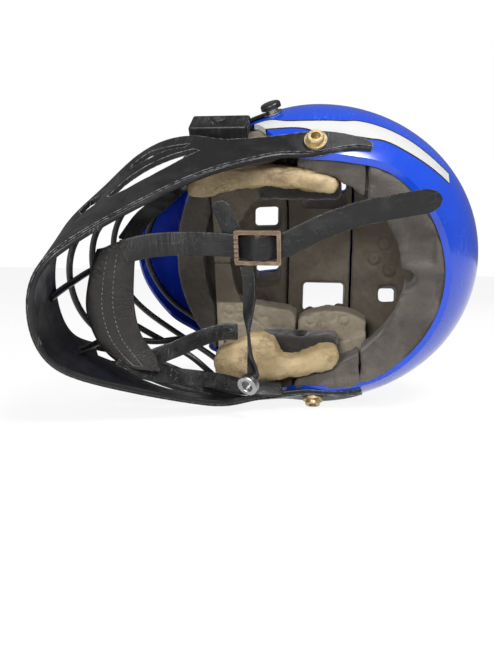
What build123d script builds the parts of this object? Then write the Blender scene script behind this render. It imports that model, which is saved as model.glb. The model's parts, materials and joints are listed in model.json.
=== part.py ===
from build123d import *
import os
from math import sqrt

os.makedirs("parts", exist_ok=True)

# The helmet is modelled upright: x towards the face, y towards the wearer's left, z towards the crown.
# The origin is midway between the two ear bolts. It is laid on its right side when it is written out.
# Names ending in SHARES hold places as shares of the shell's front length, half width and upper height.

# Shell form: an egg of four quarter ellipsoids that share one widest section
SHELL_MIDDLE_X = 5.0
SHELL_MIDDLE_Z = 51.0
SHELL_FRONT = 113.0
SHELL_BACK = 124.0
SHELL_HALF_WIDTH = 116.0
SHELL_UP = 75.0
SHELL_DOWN = 91.0
SHELL_THICKNESS = 3.0
QUARTER_RADIUS = 100.0
CUT_DEPTH = 300.0

# Shell rim seen from the side, from the back to the front and up over the brow
RIM_SHARES = [
    (-1.239, -0.067), (-0.796, -0.053), (-0.442, -0.04), (-0.177, -0.093), (0.106, -0.093),
    (0.265, 0.08), (0.425, 0.4), (0.637, 0.613), (0.885, 0.747), (1.106, 0.827),
]

# Vents through shell and liner: the middle, then the length and width
VENT_SHARES = [
    (0.416, 0.207, 1.2, 0.177, 0.155), (-0.009, 0.379, 1.147, 0.319, 0.216),
    (-0.487, 0.328, 1.067, 0.124, 0.112),
]
# How far each vent leans forwards and outwards for its height
VENT_LEAN_SHARES = [(0.15, -0.13), (0.05, 0.33), (0.0, 0.4)]
VENT_CORNER = 3.0
VENT_DEPTH = 130.0

# Visor: rows of points from the rear arch to the brim, left half, from the side up to the centre line
VISOR_THICKNESS = 2.5
VISOR_SHELL_GAP = 0.4
VISOR_REAR_X = 80.0
VISOR_REAR_HEIGHTS = [46.0, 66.0, 84.0, 97.0, 104.0]
VISOR_MIDDLE_SHARES = [
    (0.77, 0.69, 0.64), (0.85, 0.612, 0.88), (0.92, 0.466, 1.107), (0.991, 0.25, 1.267),
    (1.018, 0.0, 1.32),
]
VISOR_FRONT_SHARES = [
    (0.805, 0.638, 0.64), (0.938, 0.569, 0.787), (1.106, 0.448, 0.947), (1.23, 0.25, 1.093),
    (1.265, 0.0, 1.147),
]
VISOR_BRIM_SHARES = [
    (0.823, 0.603, 0.64), (1.027, 0.517, 0.76), (1.221, 0.397, 0.88), (1.354, 0.207, 0.96),
    (1.389, 0.0, 0.987),
]

# Chin guard: lower and upper edge stations of the left half, from the ear to the chin
CHIN_THICKNESS = 3.2
CHIN_SHELL_GAP = 0.3
CHIN_REAR_SHARES = [
    (-0.31, 0.0, 0.035), (-0.17, -0.053, 0.045), (0.02, -0.125, 0.04),
]
CHIN_LOW_SHARES = [
    (0.212, 0.752, -0.21), (0.372, 0.733, -0.36), (0.549, 0.703, -0.6), (0.726, 0.647, -0.747),
    (0.92, 0.565, -0.907), (1.115, 0.474, -1.067), (1.301, 0.371, -1.227),
    (1.416, 0.276, -1.32), (1.478, 0.147, -1.373), (1.496, 0.0, -1.387),
]
CHIN_HIGH_SHARES = [
    (0.212, 0.833, 0.007), (0.407, 0.822, -0.093), (0.566, 0.817, -0.08),
    (0.743, 0.828, 0.053), (0.938, 0.805, 0.093), (1.124, 0.716, 0.027), (1.31, 0.56, -0.067),
    (1.451, 0.431, -0.267), (1.531, 0.284, -0.56), (1.566, 0.0, -0.667),
]
CHIN_EDGE_RADIUS = 1.8
CHIN_SLOT_LONG_SHARES = [
    (1.221, -0.507), (1.133, -0.373), (0.982, -0.307), (0.832, -0.253), (0.726, -0.227),
    (0.681, -0.28), (0.752, -0.36), (0.841, -0.467), (0.938, -0.547), (1.071, -0.6),
    (1.177, -0.573),
]
CHIN_SLOT_HIGH_SHARES = [
    (1.133, -0.187), (1.009, -0.187), (0.912, -0.147), (0.788, -0.16), (0.761, -0.107),
    (0.885, -0.08), (1.027, -0.053), (1.133, -0.12),
]
CHIN_SLOT_FRONT_SHARES = [
    (1.442, -0.373), (1.398, -0.253), (1.301, -0.32), (1.274, -0.413), (1.301, -0.52),
    (1.372, -0.573),
]

# Face cage wires
WIRE_RADIUS = 2.4
WIRE_TOP_SHARES = [
    (0.796, 0.586, 0.573), (0.894, 0.5, 0.693), (1.08, 0.397, 0.787), (1.221, 0.25, 0.84),
    (1.292, 0.103, 0.867),
]
WIRE_HIGH_SHARES = [
    (0.619, 0.828, 0.32), (0.743, 0.746, 0.493), (0.929, 0.655, 0.6), (1.159, 0.517, 0.64),
    (1.354, 0.371, 0.667), (1.478, 0.198, 0.68), (1.513, 0.069, 0.68),
]
WIRE_MIDDLE_SHARES = [
    (0.655, 0.793, 0.08), (0.743, 0.69, 0.027), (0.858, 0.595, 0.04), (1.044, 0.509, 0.093),
    (1.283, 0.397, 0.147), (1.478, 0.267, 0.187), (1.549, 0.095, 0.2),
]
WIRE_LOW_SHARES = [
    (0.655, 0.724, -0.187), (0.779, 0.655, -0.253), (0.947, 0.586, -0.267),
    (1.239, 0.466, -0.267), (1.425, 0.353, -0.267), (1.531, 0.233, -0.267),
    (1.584, 0.086, -0.267),
]
WIRE_CENTRE_SHARES = [
    (1.553, -0.853), (1.558, -0.56), (1.55, -0.267), (1.54, -0.027), (1.513, 0.2),
    (1.487, 0.453), (1.473, 0.68), (1.389, 0.84), (1.327, 0.96),
]
WIRE_SIDE_SHARES = [
    (0.867, 0.522, 0.693), (0.92, 0.569, 0.467), (0.991, 0.5, 0.16), (1.08, 0.483, 0.027),
    (1.204, 0.448, -0.08), (1.327, 0.388, -0.24), (1.398, 0.371, -0.48), (1.442, 0.345, -0.8),
]

# Mask clips
CLIP_SIZE = (42.0, 15.0, 20.0)
CLIP_PLACE = (71.0, 100.55, 22.0)
CLIP_LEAN = 20.0
CLIP_EDGE = 2.0
CLIP_SCREW_RADIUS = 4.2
CLIP_SCREW_HEIGHT = 2.0
CLIP_SCREW_SINK = 0.5

# Ear bolts, square to the shell
BOLT_PLACE = (1.5, -3.5)
BOLT_FLANGE_GAP = 0.1
BOLT_FLANGE_RADIUS = 7.6
BOLT_FLANGE = 1.8
BOLT_BARREL_RADIUS = 5.6
BOLT_HEAD = 5.4
BOLT_SHANK = 9.0
BOLT_SHANK_RADIUS = 3.4
BOLT_SOCKET_RADIUS = 3.2
BOLT_SOCKET_DEPTH = 4.6
BOLT_HEAD_CHAMFER = 0.6
BOLT_HOLE_CLEARANCE = 0.15
WING_HOLE_CLEARANCE = 1.15

# Liner forms: offsets inwards from the shell
LINER_GAP = 3.4
LINER_INSIDE = 33.0
LINER_BAND_X = (-23.0, 29.0)
LINER_SEAM = 1.6
LINER_FRONT_X = 98.0
LINER_REAR_X = -112.0
LINER_LOW_Z = 58.0
SIDE_LINER_Z = (31.0, 57.0)
SIDE_LINER_X = (-38.0, 82.0)
SIDE_LINER_INSIDE = 44.0
JAW_LINER_X = (18.0, 72.0)
JAW_LINER_Z = (3.0, 30.0)
JAW_LINER_INSIDE = 11.0
JAW_LINER_GAP = 0.3
BUTTON_RADIUS = 5.2
BUTTON_HEIGHT = 1.6
BUTTON_ROUND = 1.2
FRONT_BUTTON_SHARES = [(0.62, 0.336), (0.513, 0.44), (0.537, 0.254), (0.605, -0.374), (0.459, -0.383)]
MIDDLE_BUTTON_SHARES = [(0.087, -0.49), (-0.03, -0.52), (-0.13, -0.46), (0.12, 0.5), (-0.05, 0.52)]
REAR_BUTTON_SHARES = [(-0.381, -0.077), (-0.447, 0.04), (-0.491, -0.151)]

# Brow foam band
BROW_FRONT_X = 118.0
BROW_REAR_X = 84.0
BROW_Z = (34.0, 57.0)
BROW_INSIDE = 24.0
BROW_NOTCHES = 7
BROW_NOTCH = (7.0, 3.0, 3.4)
BROW_NOTCH_STEP = 13.0

# Rear pad
REAR_PAD_Z = (-6.0, 30.5)
REAR_LINER_X = (-122.0, -39.5)
REAR_LINER_INSIDE = 38.0
REAR_PAD_FRONT_X = 14.0
REAR_PAD_BODY_X = -34.0
REAR_PAD_OUTSIDE_GAP = 3.6
REAR_CAVITY_CENTRE = (20.0, 0.0, 34.0)
REAR_CAVITY_RADII = (85.0, 81.0, 110.0)
REAR_PAD_SEAM = 1.2
REAR_NOTCH_RADIUS = 8.0
REAR_NOTCH_X = -61.0
REAR_RECESS = 8.0
REAR_RECESS_SHARES = [
    (-0.637, 0.198, 0.177, 0.207), (-0.619, -0.371, 0.195, 0.276),
    (-0.761, -0.052, 0.062, 0.172),
]

# Cheek pads
CHEEK_LEFT_SHARES = [
    (0.779, 0.599), (0.788, 0.517), (0.699, 0.5), (0.566, 0.534), (0.425, 0.56), (0.265, 0.569),
    (0.106, 0.552), (-0.027, 0.53), (-0.115, 0.539), (-0.128, 0.591), (-0.044, 0.629),
    (0.097, 0.664), (0.265, 0.681), (0.531, 0.672),
]
CHEEK_RIGHT_SHARES = [
    (0.69, -0.586), (0.664, -0.5), (0.531, -0.431), (0.389, -0.371), (0.283, -0.397),
    (0.221, -0.491), (0.088, -0.491), (-0.053, -0.448), (-0.15, -0.466), (-0.15, -0.569),
    (-0.053, -0.629), (0.159, -0.681), (0.425, -0.724), (0.619, -0.707),
]
CHEEK_Z = {"left": (-11.0, 14.0), "right": (-11.0, 3.5)}
CHEEK_ROUND = 2.5
EAR_FOAM_PLACE = (14.0, 64.0, 22.6)
EAR_FOAM_SIZE = (60.0, 24.0, 16.0)
EAR_FOAM_HOLE = 10.0
EAR_FOAM_ROUND = 3.0
EAR_FOAM_GAP = 0.4

# Straps: vinyl strips given by centre points and the direction of the width at each point
STRAP_WIDTH = 15.5
STRAP_THICKNESS = 2.0
MAIN_STRAP = [
    ((122.0, 33.0, -62.0), (0.1, 1.0, 0.1)),
    ((106.0, 36.0, -58.0), (0.0, 1.0, 0.1)),
    ((88.0, 36.5, -53.0), (0.0, 1.0, 0.0)),
    ((68.0, 35.5, -49.0), (0.0, 1.0, 0.0)),
    ((54.0, 34.5, -47.5), (0.0, 1.0, 0.0)),
    ((46.0, 34.0, -48.4), (0.0, 1.0, 0.0)),
    ((35.0, 34.0, -54.2), (0.0, 1.0, 0.0)),
    ((24.0, 34.0, -48.4), (0.0, 1.0, 0.0)),
    ((18.0, 35.0, -47.0), (0.1, 1.0, 0.0)),
]
TAIL_STRAP = [
    ((17.0, 35.4, -47.0), (0.15, 1.0, 0.0)),
    ((4.0, 42.0, -46.0), (0.3, 1.0, 0.0)),
    ((-12.0, 49.0, -44.0), (0.3, 1.0, 0.0)),
    ((-32.0, 55.0, -41.0), (0.2, 1.0, 0.0)),
    ((-54.0, 59.0, -38.5), (0.1, 1.0, 0.0)),
    ((-79.0, 63.0, -36.0), (0.05, 1.0, 0.0)),
]
HANG_STRAP = [
    ((42.5, 21.9, -51.0), (1.0, 0.0, 0.0)),
    ((41.0, 13.0, -51.5), (1.0, 0.0, 0.2)),
    ((41.0, 0.0, -52.0), (0.9, 0.0, 0.4)),
    ((42.0, -12.0, -52.0), (0.7, 0.0, 0.7)),
    ((42.0, -26.0, -52.0), (0.2, 0.0, 1.0)),
    ((41.0, -40.0, -52.0), (0.4, 0.0, 0.9)),
    ((40.0, -50.0, -52.0), (0.8, 0.0, 0.6)),
    ((39.5, -59.0, -52.0), (1.0, 0.0, 0.2)),
]
HANG_WIDTH = 9.0
HANG_THICKNESS = 1.8
LOOP_TAIL = [
    ((47.0, 36.0, -45.0), (1.0, -0.3, 0.0)),
    ((53.0, 44.0, -45.0), (0.9, -0.4, 0.0)),
    ((57.0, 53.0, -44.0), (0.9, -0.4, 0.0)),
    ((62.0, 62.0, -43.0), (0.9, -0.4, 0.0)),
]
FRONT_LEFT_STRAP = [
    ((120.0, 40.0, -56.0), (0.9, 0.2, 0.3)),
    ((116.0, 49.0, -32.0), (0.9, 0.3, 0.2)),
    ((109.5, 55.0, -9.5), (0.8, 0.4, 0.2)),
    ((102.0, 63.5, 9.5), (0.7, 0.5, 0.3)),
    ((97.0, 78.5, 25.5), (0.6, 0.4, 0.6)),
    ((84.0, 92.2, 38.5), (0.4, 0.2, 1.0)),
    ((66.0, 100.5, 42.0), (0.1, 0.0, 1.0)),
    ((50.0, 107.3, 41.0), (0.0, 0.0, 1.0)),
    ((36.0, 111.9, 38.0), (0.0, 0.0, 1.0)),
]
FRONT_RIGHT_STRAP = [
    ((122.0, -46.0, -60.5), (0.7, 0.7, 0.2)),
    ((113.0, -47.0, -50.0), (0.5, 0.9, 0.2)),
    ((99.0, -45.0, -38.0), (0.4, 0.9, 0.2)),
    ((88.0, -42.0, -30.0), (0.4, 0.9, 0.2)),
    ((78.0, -40.0, -22.0), (0.4, 0.9, 0.3)),
    ((68.0, -39.0, -16.0), (0.3, 0.9, 0.3)),
    ((57.0, -40.0, -12.0), (0.3, 0.9, 0.3)),
]
REAR_RIGHT_STRAP = [
    ((130.0, -40.0, -66.0), (0.2, 0.8, 0.4)),
    ((112.0, -52.0, -62.0), (0.2, 0.8, 0.5)),
    ((94.0, -60.5, -49.5), (0.2, 0.8, 0.5)),
    ((70.0, -69.0, -36.5), (0.1, 0.7, 0.6)),
    ((44.0, -79.5, -24.5), (0.0, 0.5, 0.8)),
    ((24.0, -83.5, -16.5), (0.0, 0.4, 0.9)),
]
SIDE_STRAP_WIDTH = 12.0
SIDE_STRAP_THICKNESS = 1.8

# Buckle: a ladder frame that the main strap threads through
BUCKLE_SIZE = (30.0, 22.5)
BUCKLE_WIRE = 2.5
BUCKLE_DEPTH = 2.6
BUCKLE_PLACE = (35.0, 34.0, -51.2)
BUCKLE_BARS = (-13.75, 0.0, 13.75)
BUCKLE_ROUND = 1.0
BUCKLE_TEETH = 6
BUCKLE_TOOTH = 1.6

# Chin cup
CUP_SHARES = [
    ((1.212, 0.293, -0.8), (1.009, 0.353, -0.747)),
    ((1.283, 0.121, -0.827), (1.044, 0.155, -0.733)),
    ((1.319, -0.052, -0.84), (1.062, -0.034, -0.733)),
    ((1.283, -0.216, -0.84), (1.035, -0.216, -0.747)),
    ((1.204, -0.336, -0.827), (0.956, -0.353, -0.76)),
    ((1.097, -0.397, -0.827), (0.92, -0.448, -0.8)),
]
CUP_THICKNESS = 4.0
CUP_SAG = 3.5
CUP_LINING_THICKNESS = 3.0

# Snaps
SNAP_PLACE = (35.0, 38.0)
SNAP_STUD_RADIUS = 4.5
SNAP_STUD_HEIGHT = 5.6
SNAP_STUD_FLANGE = 7.0
SNAP_FLANGE_HEIGHT = 1.0
SNAP_CAP_RADIUS = 7.4
SNAP_CAP_HEIGHT = 4.2
SNAP_CAP_CLEARANCE = 0.1
SNAP_CAP_LIFT = 3.8

# Hanging snap at the end of the short strap
RING_PLACE = (43.5, -63.0, -53.0)
RING_FACING = (0.35, -0.2, -1.0)
RING_CHAMFER = 0.5
DISC_RADIUS = 6.5
DISC_HEIGHT = 1.6
RING_OUTER = 7.5
RING_INNER = 4.0
RING_HEIGHT = 4.5

# Mounting screws of the visor
VISOR_SCREW_RADIUS = 5.0
VISOR_SCREW_HEIGHT = 2.2
VISOR_SCREW_PLACE = (90.0, 54.0)
VISOR_SCREW_Y = 81.0
VISOR_SCREW_LEAN = 0.6
SCREW_SLOT_WIDTH = 1.3
SCREW_SLOT_DEPTH = 0.9

# Roll about the long axis that sets the right ear bolt, clip screw and shell side on one level
LAY_TILT = 15.6

SIDES = {"left": 1.0, "right": -1.0}


def placed(shares):
    """Places in the helmet from shares of its length, half width and height."""
    return [(x * SHELL_FRONT, y * SHELL_HALF_WIDTH, z * SHELL_UP) for x, y, z in shares]


def placed_side(shares):
    """Places in the side view."""
    return [(x * SHELL_FRONT, z * SHELL_UP) for x, z in shares]


def placed_plan(shares):
    """Places in the plan."""
    return [(x * SHELL_FRONT, y * SHELL_HALF_WIDTH) for x, y in shares]


def quarter_form(front, back, half_width, up, down):
    """The egg: four quarter spheres, each stretched to its own radii."""
    ball = Sphere(QUARTER_RADIUS)
    reach = 2 * QUARTER_RADIUS
    pieces = []
    for along, length in ((1, front), (-1, back)):
        for above, height in ((1, up), (-1, down)):
            corner = Location((along * QUARTER_RADIUS, 0, above * QUARTER_RADIUS))
            quarter = ball & (corner * Box(reach, reach, reach))
            stretch = tuple(radius / QUARTER_RADIUS for radius in (length, half_width, height))
            pieces.append(scale(quarter, by=stretch))
    whole = pieces[0]
    for piece in pieces[1:]:
        whole = whole + piece
    return whole


def shell_form(inset):
    """The shell's outer form, drawn in by the given inset."""
    radii = [size - inset for size in (SHELL_FRONT, SHELL_BACK, SHELL_HALF_WIDTH, SHELL_UP, SHELL_DOWN)]
    form = quarter_form(*radii)
    return Location((SHELL_MIDDLE_X, 0, SHELL_MIDDLE_Z)) * form


def shell_y(x, z, offset):
    """Half width of the shell form at a place, grown by the given offset."""
    length = (SHELL_FRONT if x > SHELL_MIDDLE_X else SHELL_BACK) + offset
    height = (SHELL_UP if z > SHELL_MIDDLE_Z else SHELL_DOWN) + offset
    left = 1 - ((x - SHELL_MIDDLE_X) / length) ** 2 - ((z - SHELL_MIDDLE_Z) / height) ** 2
    return (SHELL_HALF_WIDTH + offset) * sqrt(max(left, 0))


def shell_normal(x, z):
    """Outward direction of the shell form on the left side at a place."""
    y = shell_y(x, z, 0)
    length = SHELL_FRONT if x > SHELL_MIDDLE_X else SHELL_BACK
    height = SHELL_UP if z > SHELL_MIDDLE_Z else SHELL_DOWN
    return Vector(
        (x - SHELL_MIDDLE_X) / length**2, y / SHELL_HALF_WIDTH**2, (z - SHELL_MIDDLE_Z) / height**2
    ).normalized()


def side_prism(outline):
    """A prism across the whole helmet from an outline in the side view."""
    face = make_face(Plane.XZ * Polyline(*outline, close=True))
    return extrude(face, CUT_DEPTH / 2, both=True)


def slab_x(low, high):
    return Location(((low + high) / 2, 0, 0)) * Box(high - low, CUT_DEPTH, 2 * CUT_DEPTH)


def slab_z(low, high):
    return Location((0, 0, (low + high) / 2)) * Box(2 * CUT_DEPTH, CUT_DEPTH, high - low)


def patch(rows, thickness, towards):
    """A sheet through rows of points, thickened towards a direction."""
    face = Face.make_surface_from_array_of_points(rows)
    facing = face.normal_at(face.center()).dot(Vector(*towards))
    return Solid.thicken(face, thickness if facing > 0 else -thickness)


def strip(stations, width, thickness):
    """A strap: a sheet as wide as the strap along its centre points, thickened about its middle."""
    centres = [Vector(*centre) for centre, across in stations]
    rows = []
    for index, (centre, across) in enumerate(stations):
        ahead = centres[min(index + 1, len(centres) - 1)]
        behind = centres[max(index - 1, 0)]
        side = Vector(*across).normalized()
        normal = (ahead - behind).cross(side).normalized()
        middle = centres[index] - normal * (thickness / 2)
        rows.append([middle - side * (width / 2), middle, middle + side * (width / 2)])
        if index == len(centres) // 2:
            towards = normal
    face = Face.make_surface_from_array_of_points(rows)
    facing = face.normal_at(rows[len(rows) // 2][1]).dot(towards)
    return Solid.thicken(face, thickness if facing > 0 else -thickness)


def whole_row(half_row):
    """Mirror a left half row, given from the side to the centre line, into a full row."""
    other = [(x, -y, z) for x, y, z in half_row]
    return [Vector(*p) for p in half_row] + [Vector(*p) for p in reversed(other[:-1])]


def wire(points, radius):
    path = Spline(*[Vector(*p) for p in points])
    start = Plane(origin=path @ 0, z_dir=path % 0)
    return sweep(start * Circle(radius), path=path)


def mirrored_wire(half, radius):
    other = [(x, -y, z) for x, y, z in half if y > 0]
    return wire(half + other[::-1], radius)


def vent_cutters():
    """Bars that cut the vents, in mirrored pairs."""
    cutters = []
    for middle_and_size, lean_shares in zip(VENT_SHARES, VENT_LEAN_SHARES):
        x_share, y_share, z_share, length_share, width_share = middle_and_size
        ahead_share, outward_share = lean_shares
        x, y, z = placed([(x_share, y_share, z_share)])[0]
        length = length_share * SHELL_FRONT
        width = width_share * SHELL_HALF_WIDTH
        for side in SIDES.values():
            centre = Vector(x, side * y, z)
            outward = Vector(ahead_share, side * outward_share, 1).normalized()
            plane = Plane(origin=centre - outward * (VENT_DEPTH / 2), x_dir=(1, 0, 0), z_dir=outward)
            small = plane * RectangleRounded(length, width, VENT_CORNER)
            cutters.append(extrude(small, VENT_DEPTH))
    return cutters


def outer_shell(vents):
    outside = shell_form(0)
    inside = shell_form(SHELL_THICKNESS)
    rim = placed_side(RIM_SHARES)
    rim = rim + [(rim[-1][0], CUT_DEPTH), (rim[0][0], CUT_DEPTH)]
    shell = (outside - inside) & side_prism(rim)
    for cutter in vents:
        shell = shell - cutter
    for side in SIDES.values():
        shell = shell - bolt_blank(side, BOLT_HOLE_CLEARANCE)
    return shell


def bolt_seat(side):
    """Where an ear bolt's flange lies on the chin guard."""
    return on_shell(*BOLT_PLACE, side, CHIN_SHELL_GAP + CHIN_THICKNESS + BOLT_FLANGE_GAP)


def bolt_blank(side, clearance):
    shank = Cylinder(BOLT_SHANK_RADIUS + clearance, CUT_DEPTH / 4)
    return bolt_seat(side) * shank


def visor():
    rear = []
    for height in VISOR_REAR_HEIGHTS[:-1]:
        rear.append((VISOR_REAR_X, shell_y(VISOR_REAR_X, height, VISOR_SHELL_GAP), height))
    top_share = 1 - ((VISOR_REAR_X - SHELL_MIDDLE_X) / (SHELL_FRONT + VISOR_SHELL_GAP)) ** 2
    rear.append((VISOR_REAR_X, 0, SHELL_MIDDLE_Z + (SHELL_UP + VISOR_SHELL_GAP) * sqrt(top_share)))
    front_rows = [placed(row) for row in (VISOR_MIDDLE_SHARES, VISOR_FRONT_SHARES, VISOR_BRIM_SHARES)]
    rows = [whole_row(row) for row in [rear] + front_rows]
    body = patch(rows, VISOR_THICKNESS, (0, 0, 1))
    return body - shell_form(-VISOR_SHELL_GAP / 2)


def chin_guard():
    low = []
    high = []
    for x_share, low_share, high_share in CHIN_REAR_SHARES:
        x = x_share * SHELL_FRONT
        low_z = low_share * SHELL_UP
        high_z = high_share * SHELL_UP
        low.append((x, shell_y(x, low_z, CHIN_SHELL_GAP), low_z))
        high.append((x, shell_y(x, high_z, CHIN_SHELL_GAP), high_z))
    low = low + placed(CHIN_LOW_SHARES)
    high = high + placed(CHIN_HIGH_SHARES)
    low_edge = Spline(*whole_row(low))
    high_edge = Spline(*whole_row(high))
    face = Face.make_surface_from_curves(low_edge, high_edge)
    facing = face.normal_at(face.center()).X
    body = Solid.thicken(face, CHIN_THICKNESS if facing > 0 else -CHIN_THICKNESS)
    start = Plane(origin=low_edge @ 0, z_dir=low_edge % 0)
    body = body + sweep(start * Circle(CHIN_EDGE_RADIUS), path=low_edge)
    for outline in (CHIN_SLOT_LONG_SHARES, CHIN_SLOT_HIGH_SHARES, CHIN_SLOT_FRONT_SHARES):
        body = body - side_prism(placed_side(outline))
    body = body - shell_form(-CHIN_SHELL_GAP / 2)
    for side in SIDES.values():
        body = body - bolt_blank(side, BOLT_HOLE_CLEARANCE)
    return body


def centre_wire():
    points = [(x, 0, z) for x, z in placed_side(WIRE_CENTRE_SHARES)]
    return wire(points, WIRE_RADIUS)


def clip_place(side):
    """The middle of a mask clip, leaned so that its outer face turns down."""
    x, y, z = CLIP_PLACE
    return Location((x, side * y, z)) * Rot(X=-side * CLIP_LEAN)


def mask_clip(side):
    """Block that clamps the cage ends beside the shell."""
    block = fillet(Box(*CLIP_SIZE).edges(), CLIP_EDGE)
    return clip_place(side) * block - shell_form(-CHIN_SHELL_GAP)


def pan_screw(radius, height, sink):
    """Slotted pan head, its seat at the origin and its head along z."""
    head = Location((0, 0, (height - sink) / 2)) * Cylinder(radius, height + sink)
    head = fillet(head.edges().filter_by(GeomType.CIRCLE).group_by(Axis.Z)[-1], height / 2)
    slot_cutter = Box(2 * radius + SCREW_SLOT_WIDTH, SCREW_SLOT_WIDTH, 2 * SCREW_SLOT_DEPTH)
    slot = Location((0, 0, height)) * slot_cutter
    return head - slot


def clip_screw(side):
    screw = pan_screw(CLIP_SCREW_RADIUS, CLIP_SCREW_HEIGHT, CLIP_SCREW_SINK)
    return clip_place(side) * Location((0, side * CLIP_SIZE[1] / 2, 0)) * Rot(X=-90 * side) * screw


def on_shell(x, z, side, lift):
    """A plane on the shell's side, its z axis outwards, lifted off the surface."""
    normal = shell_normal(x, z)
    seat = Vector(x, shell_y(x, z, 0), z) + normal * lift
    return Plane(origin=(seat.X, side * seat.Y, seat.Z), z_dir=(normal.X, side * normal.Y, normal.Z))


def ear_bolt(side):
    """Flanged nut with a round hole outside and a shank through the chin guard and the shell."""
    flange = Location((0, 0, BOLT_FLANGE / 2)) * Cylinder(BOLT_FLANGE_RADIUS, BOLT_FLANGE)
    head = Location((0, 0, BOLT_HEAD / 2)) * Cylinder(BOLT_BARREL_RADIUS, BOLT_HEAD)
    shank = Location((0, 0, -BOLT_SHANK / 2)) * Cylinder(BOLT_SHANK_RADIUS, BOLT_SHANK)
    socket = Location((0, 0, BOLT_HEAD)) * Cylinder(BOLT_SOCKET_RADIUS, 2 * BOLT_SOCKET_DEPTH)
    head = chamfer(head.edges().group_by(Axis.Z)[-1], BOLT_HEAD_CHAMFER)
    return bolt_seat(side) * (flange + head + shank - socket)


def liner_piece(x_range, z_range, inside, vents):
    """A piece of the head liner between two drawn-in shell forms."""
    piece = LINER_OUTSIDE - shell_form(inside)
    piece = piece & slab_x(*x_range) & slab_z(*z_range)
    for cutter in vents:
        piece = piece - cutter
    return piece


def half(shape, side):
    """The part of a shape on one side of the symmetry plane."""
    keep = Location((0, side * CUT_DEPTH / 2, 0)) * Box(2 * CUT_DEPTH, CUT_DEPTH, 2 * CUT_DEPTH)
    return shape & keep


def with_buttons(piece, button_shares):
    """Raised round buttons on the inner face of a piece of the crown liner."""
    for x_share, y_share in button_shares:
        x = x_share * SHELL_FRONT
        y = y_share * SHELL_HALF_WIDTH
        length = (SHELL_FRONT if x > SHELL_MIDDLE_X else SHELL_BACK) - LINER_INSIDE
        half_width = SHELL_HALF_WIDTH - LINER_INSIDE
        height = SHELL_UP - LINER_INSIDE
        rise = sqrt(1 - ((x - SHELL_MIDDLE_X) / length) ** 2 - (y / half_width) ** 2)
        inward = Vector((SHELL_MIDDLE_X - x) / length**2, -y / half_width**2, -rise / height)
        seat = Plane(origin=(x, y, SHELL_MIDDLE_Z + height * rise), z_dir=inward)
        button = Cylinder(BUTTON_RADIUS, 2 * BUTTON_HEIGHT)
        button = fillet(button.edges().group_by(Axis.Z)[-1], BUTTON_ROUND)
        piece = piece + seat * button
    return piece


def brow_band():
    band = (LINER_OUTSIDE - shell_form(BROW_INSIDE)) & slab_x(BROW_REAR_X, BROW_FRONT_X) & slab_z(*BROW_Z)
    notch = Box(BROW_NOTCH[0], BROW_NOTCH[1], BROW_NOTCH[2])
    first = -(BROW_NOTCHES - 1) / 2
    for index in range(BROW_NOTCHES):
        y = (first + index) * BROW_NOTCH_STEP
        share = 1 - (y / (SHELL_HALF_WIDTH - BROW_INSIDE)) ** 2
        x = SHELL_MIDDLE_X + (SHELL_FRONT - BROW_INSIDE) * sqrt(share)
        band = band - Location((x, y, BROW_Z[0])) * notch
    return band


def rear_cavity(gap):
    """The hollow that the rear pad leaves for the head, drawn in by a gap."""
    stretch = tuple((radius - gap) / QUARTER_RADIUS for radius in REAR_CAVITY_RADII)
    return Location(REAR_CAVITY_CENTRE) * scale(Sphere(QUARTER_RADIUS), by=stretch)


def rear_ring():
    """The charcoal pad around the back of the head, before it is parted into body and wings."""
    return (shell_form(REAR_PAD_OUTSIDE_GAP) - rear_cavity(0)) & slab_z(*REAR_PAD_Z)


def rear_pad(ring):
    body = ring & slab_x(-CUT_DEPTH, REAR_PAD_BODY_X)
    notch = Location((REAR_NOTCH_X, 0, 0)) * Cylinder(REAR_NOTCH_RADIUS, CUT_DEPTH)
    body = body - notch
    for x_share, y_share, length_share, width_share in REAR_RECESS_SHARES:
        place = Location((x_share * SHELL_FRONT, y_share * SHELL_HALF_WIDTH, REAR_PAD_Z[0]))
        body = body - place * Box(length_share * SHELL_FRONT, width_share * SHELL_HALF_WIDTH, REAR_RECESS)
    return body


def rear_wing(ring, side, cheek):
    """Side of the charcoal pad, hollowed where the cheek pad sits against it."""
    wing = ring & slab_x(REAR_PAD_BODY_X + REAR_PAD_SEAM, REAR_PAD_FRONT_X)
    wing = half(wing, side) - bolt_blank(side, WING_HOLE_CLEARANCE)
    return wing - cheek


def cheek_block(outline_shares, z_range):
    """Plan of a cheek pad, extruded to its full height."""
    face = make_face(Spline(*placed_plan(outline_shares), periodic=True))
    return extrude(Location((0, 0, z_range[0])) * face, z_range[1] - z_range[0])


def cheek_pad(block):
    """Cheek pad, rounded on the open side and cut back from the jaw liner."""
    pad = fillet(block.edges().group_by(Axis.Z)[0], CHEEK_ROUND)
    jaw = (LINER_OUTSIDE - shell_form(JAW_LINER_INSIDE + JAW_LINER_GAP)) & slab_x(*JAW_LINER_X)
    return pad - (jaw & slab_z(JAW_LINER_Z[0] - JAW_LINER_GAP, JAW_LINER_Z[1]))


def ear_foam(side):
    x, y, z = EAR_FOAM_PLACE
    foam = fillet(Box(*EAR_FOAM_SIZE).edges(), EAR_FOAM_ROUND)
    foam = foam - Rot(X=90) * Cylinder(EAR_FOAM_HOLE / 2, CUT_DEPTH)
    return (Location((x, side * y, z)) * foam) & rear_cavity(EAR_FOAM_GAP)


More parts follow.
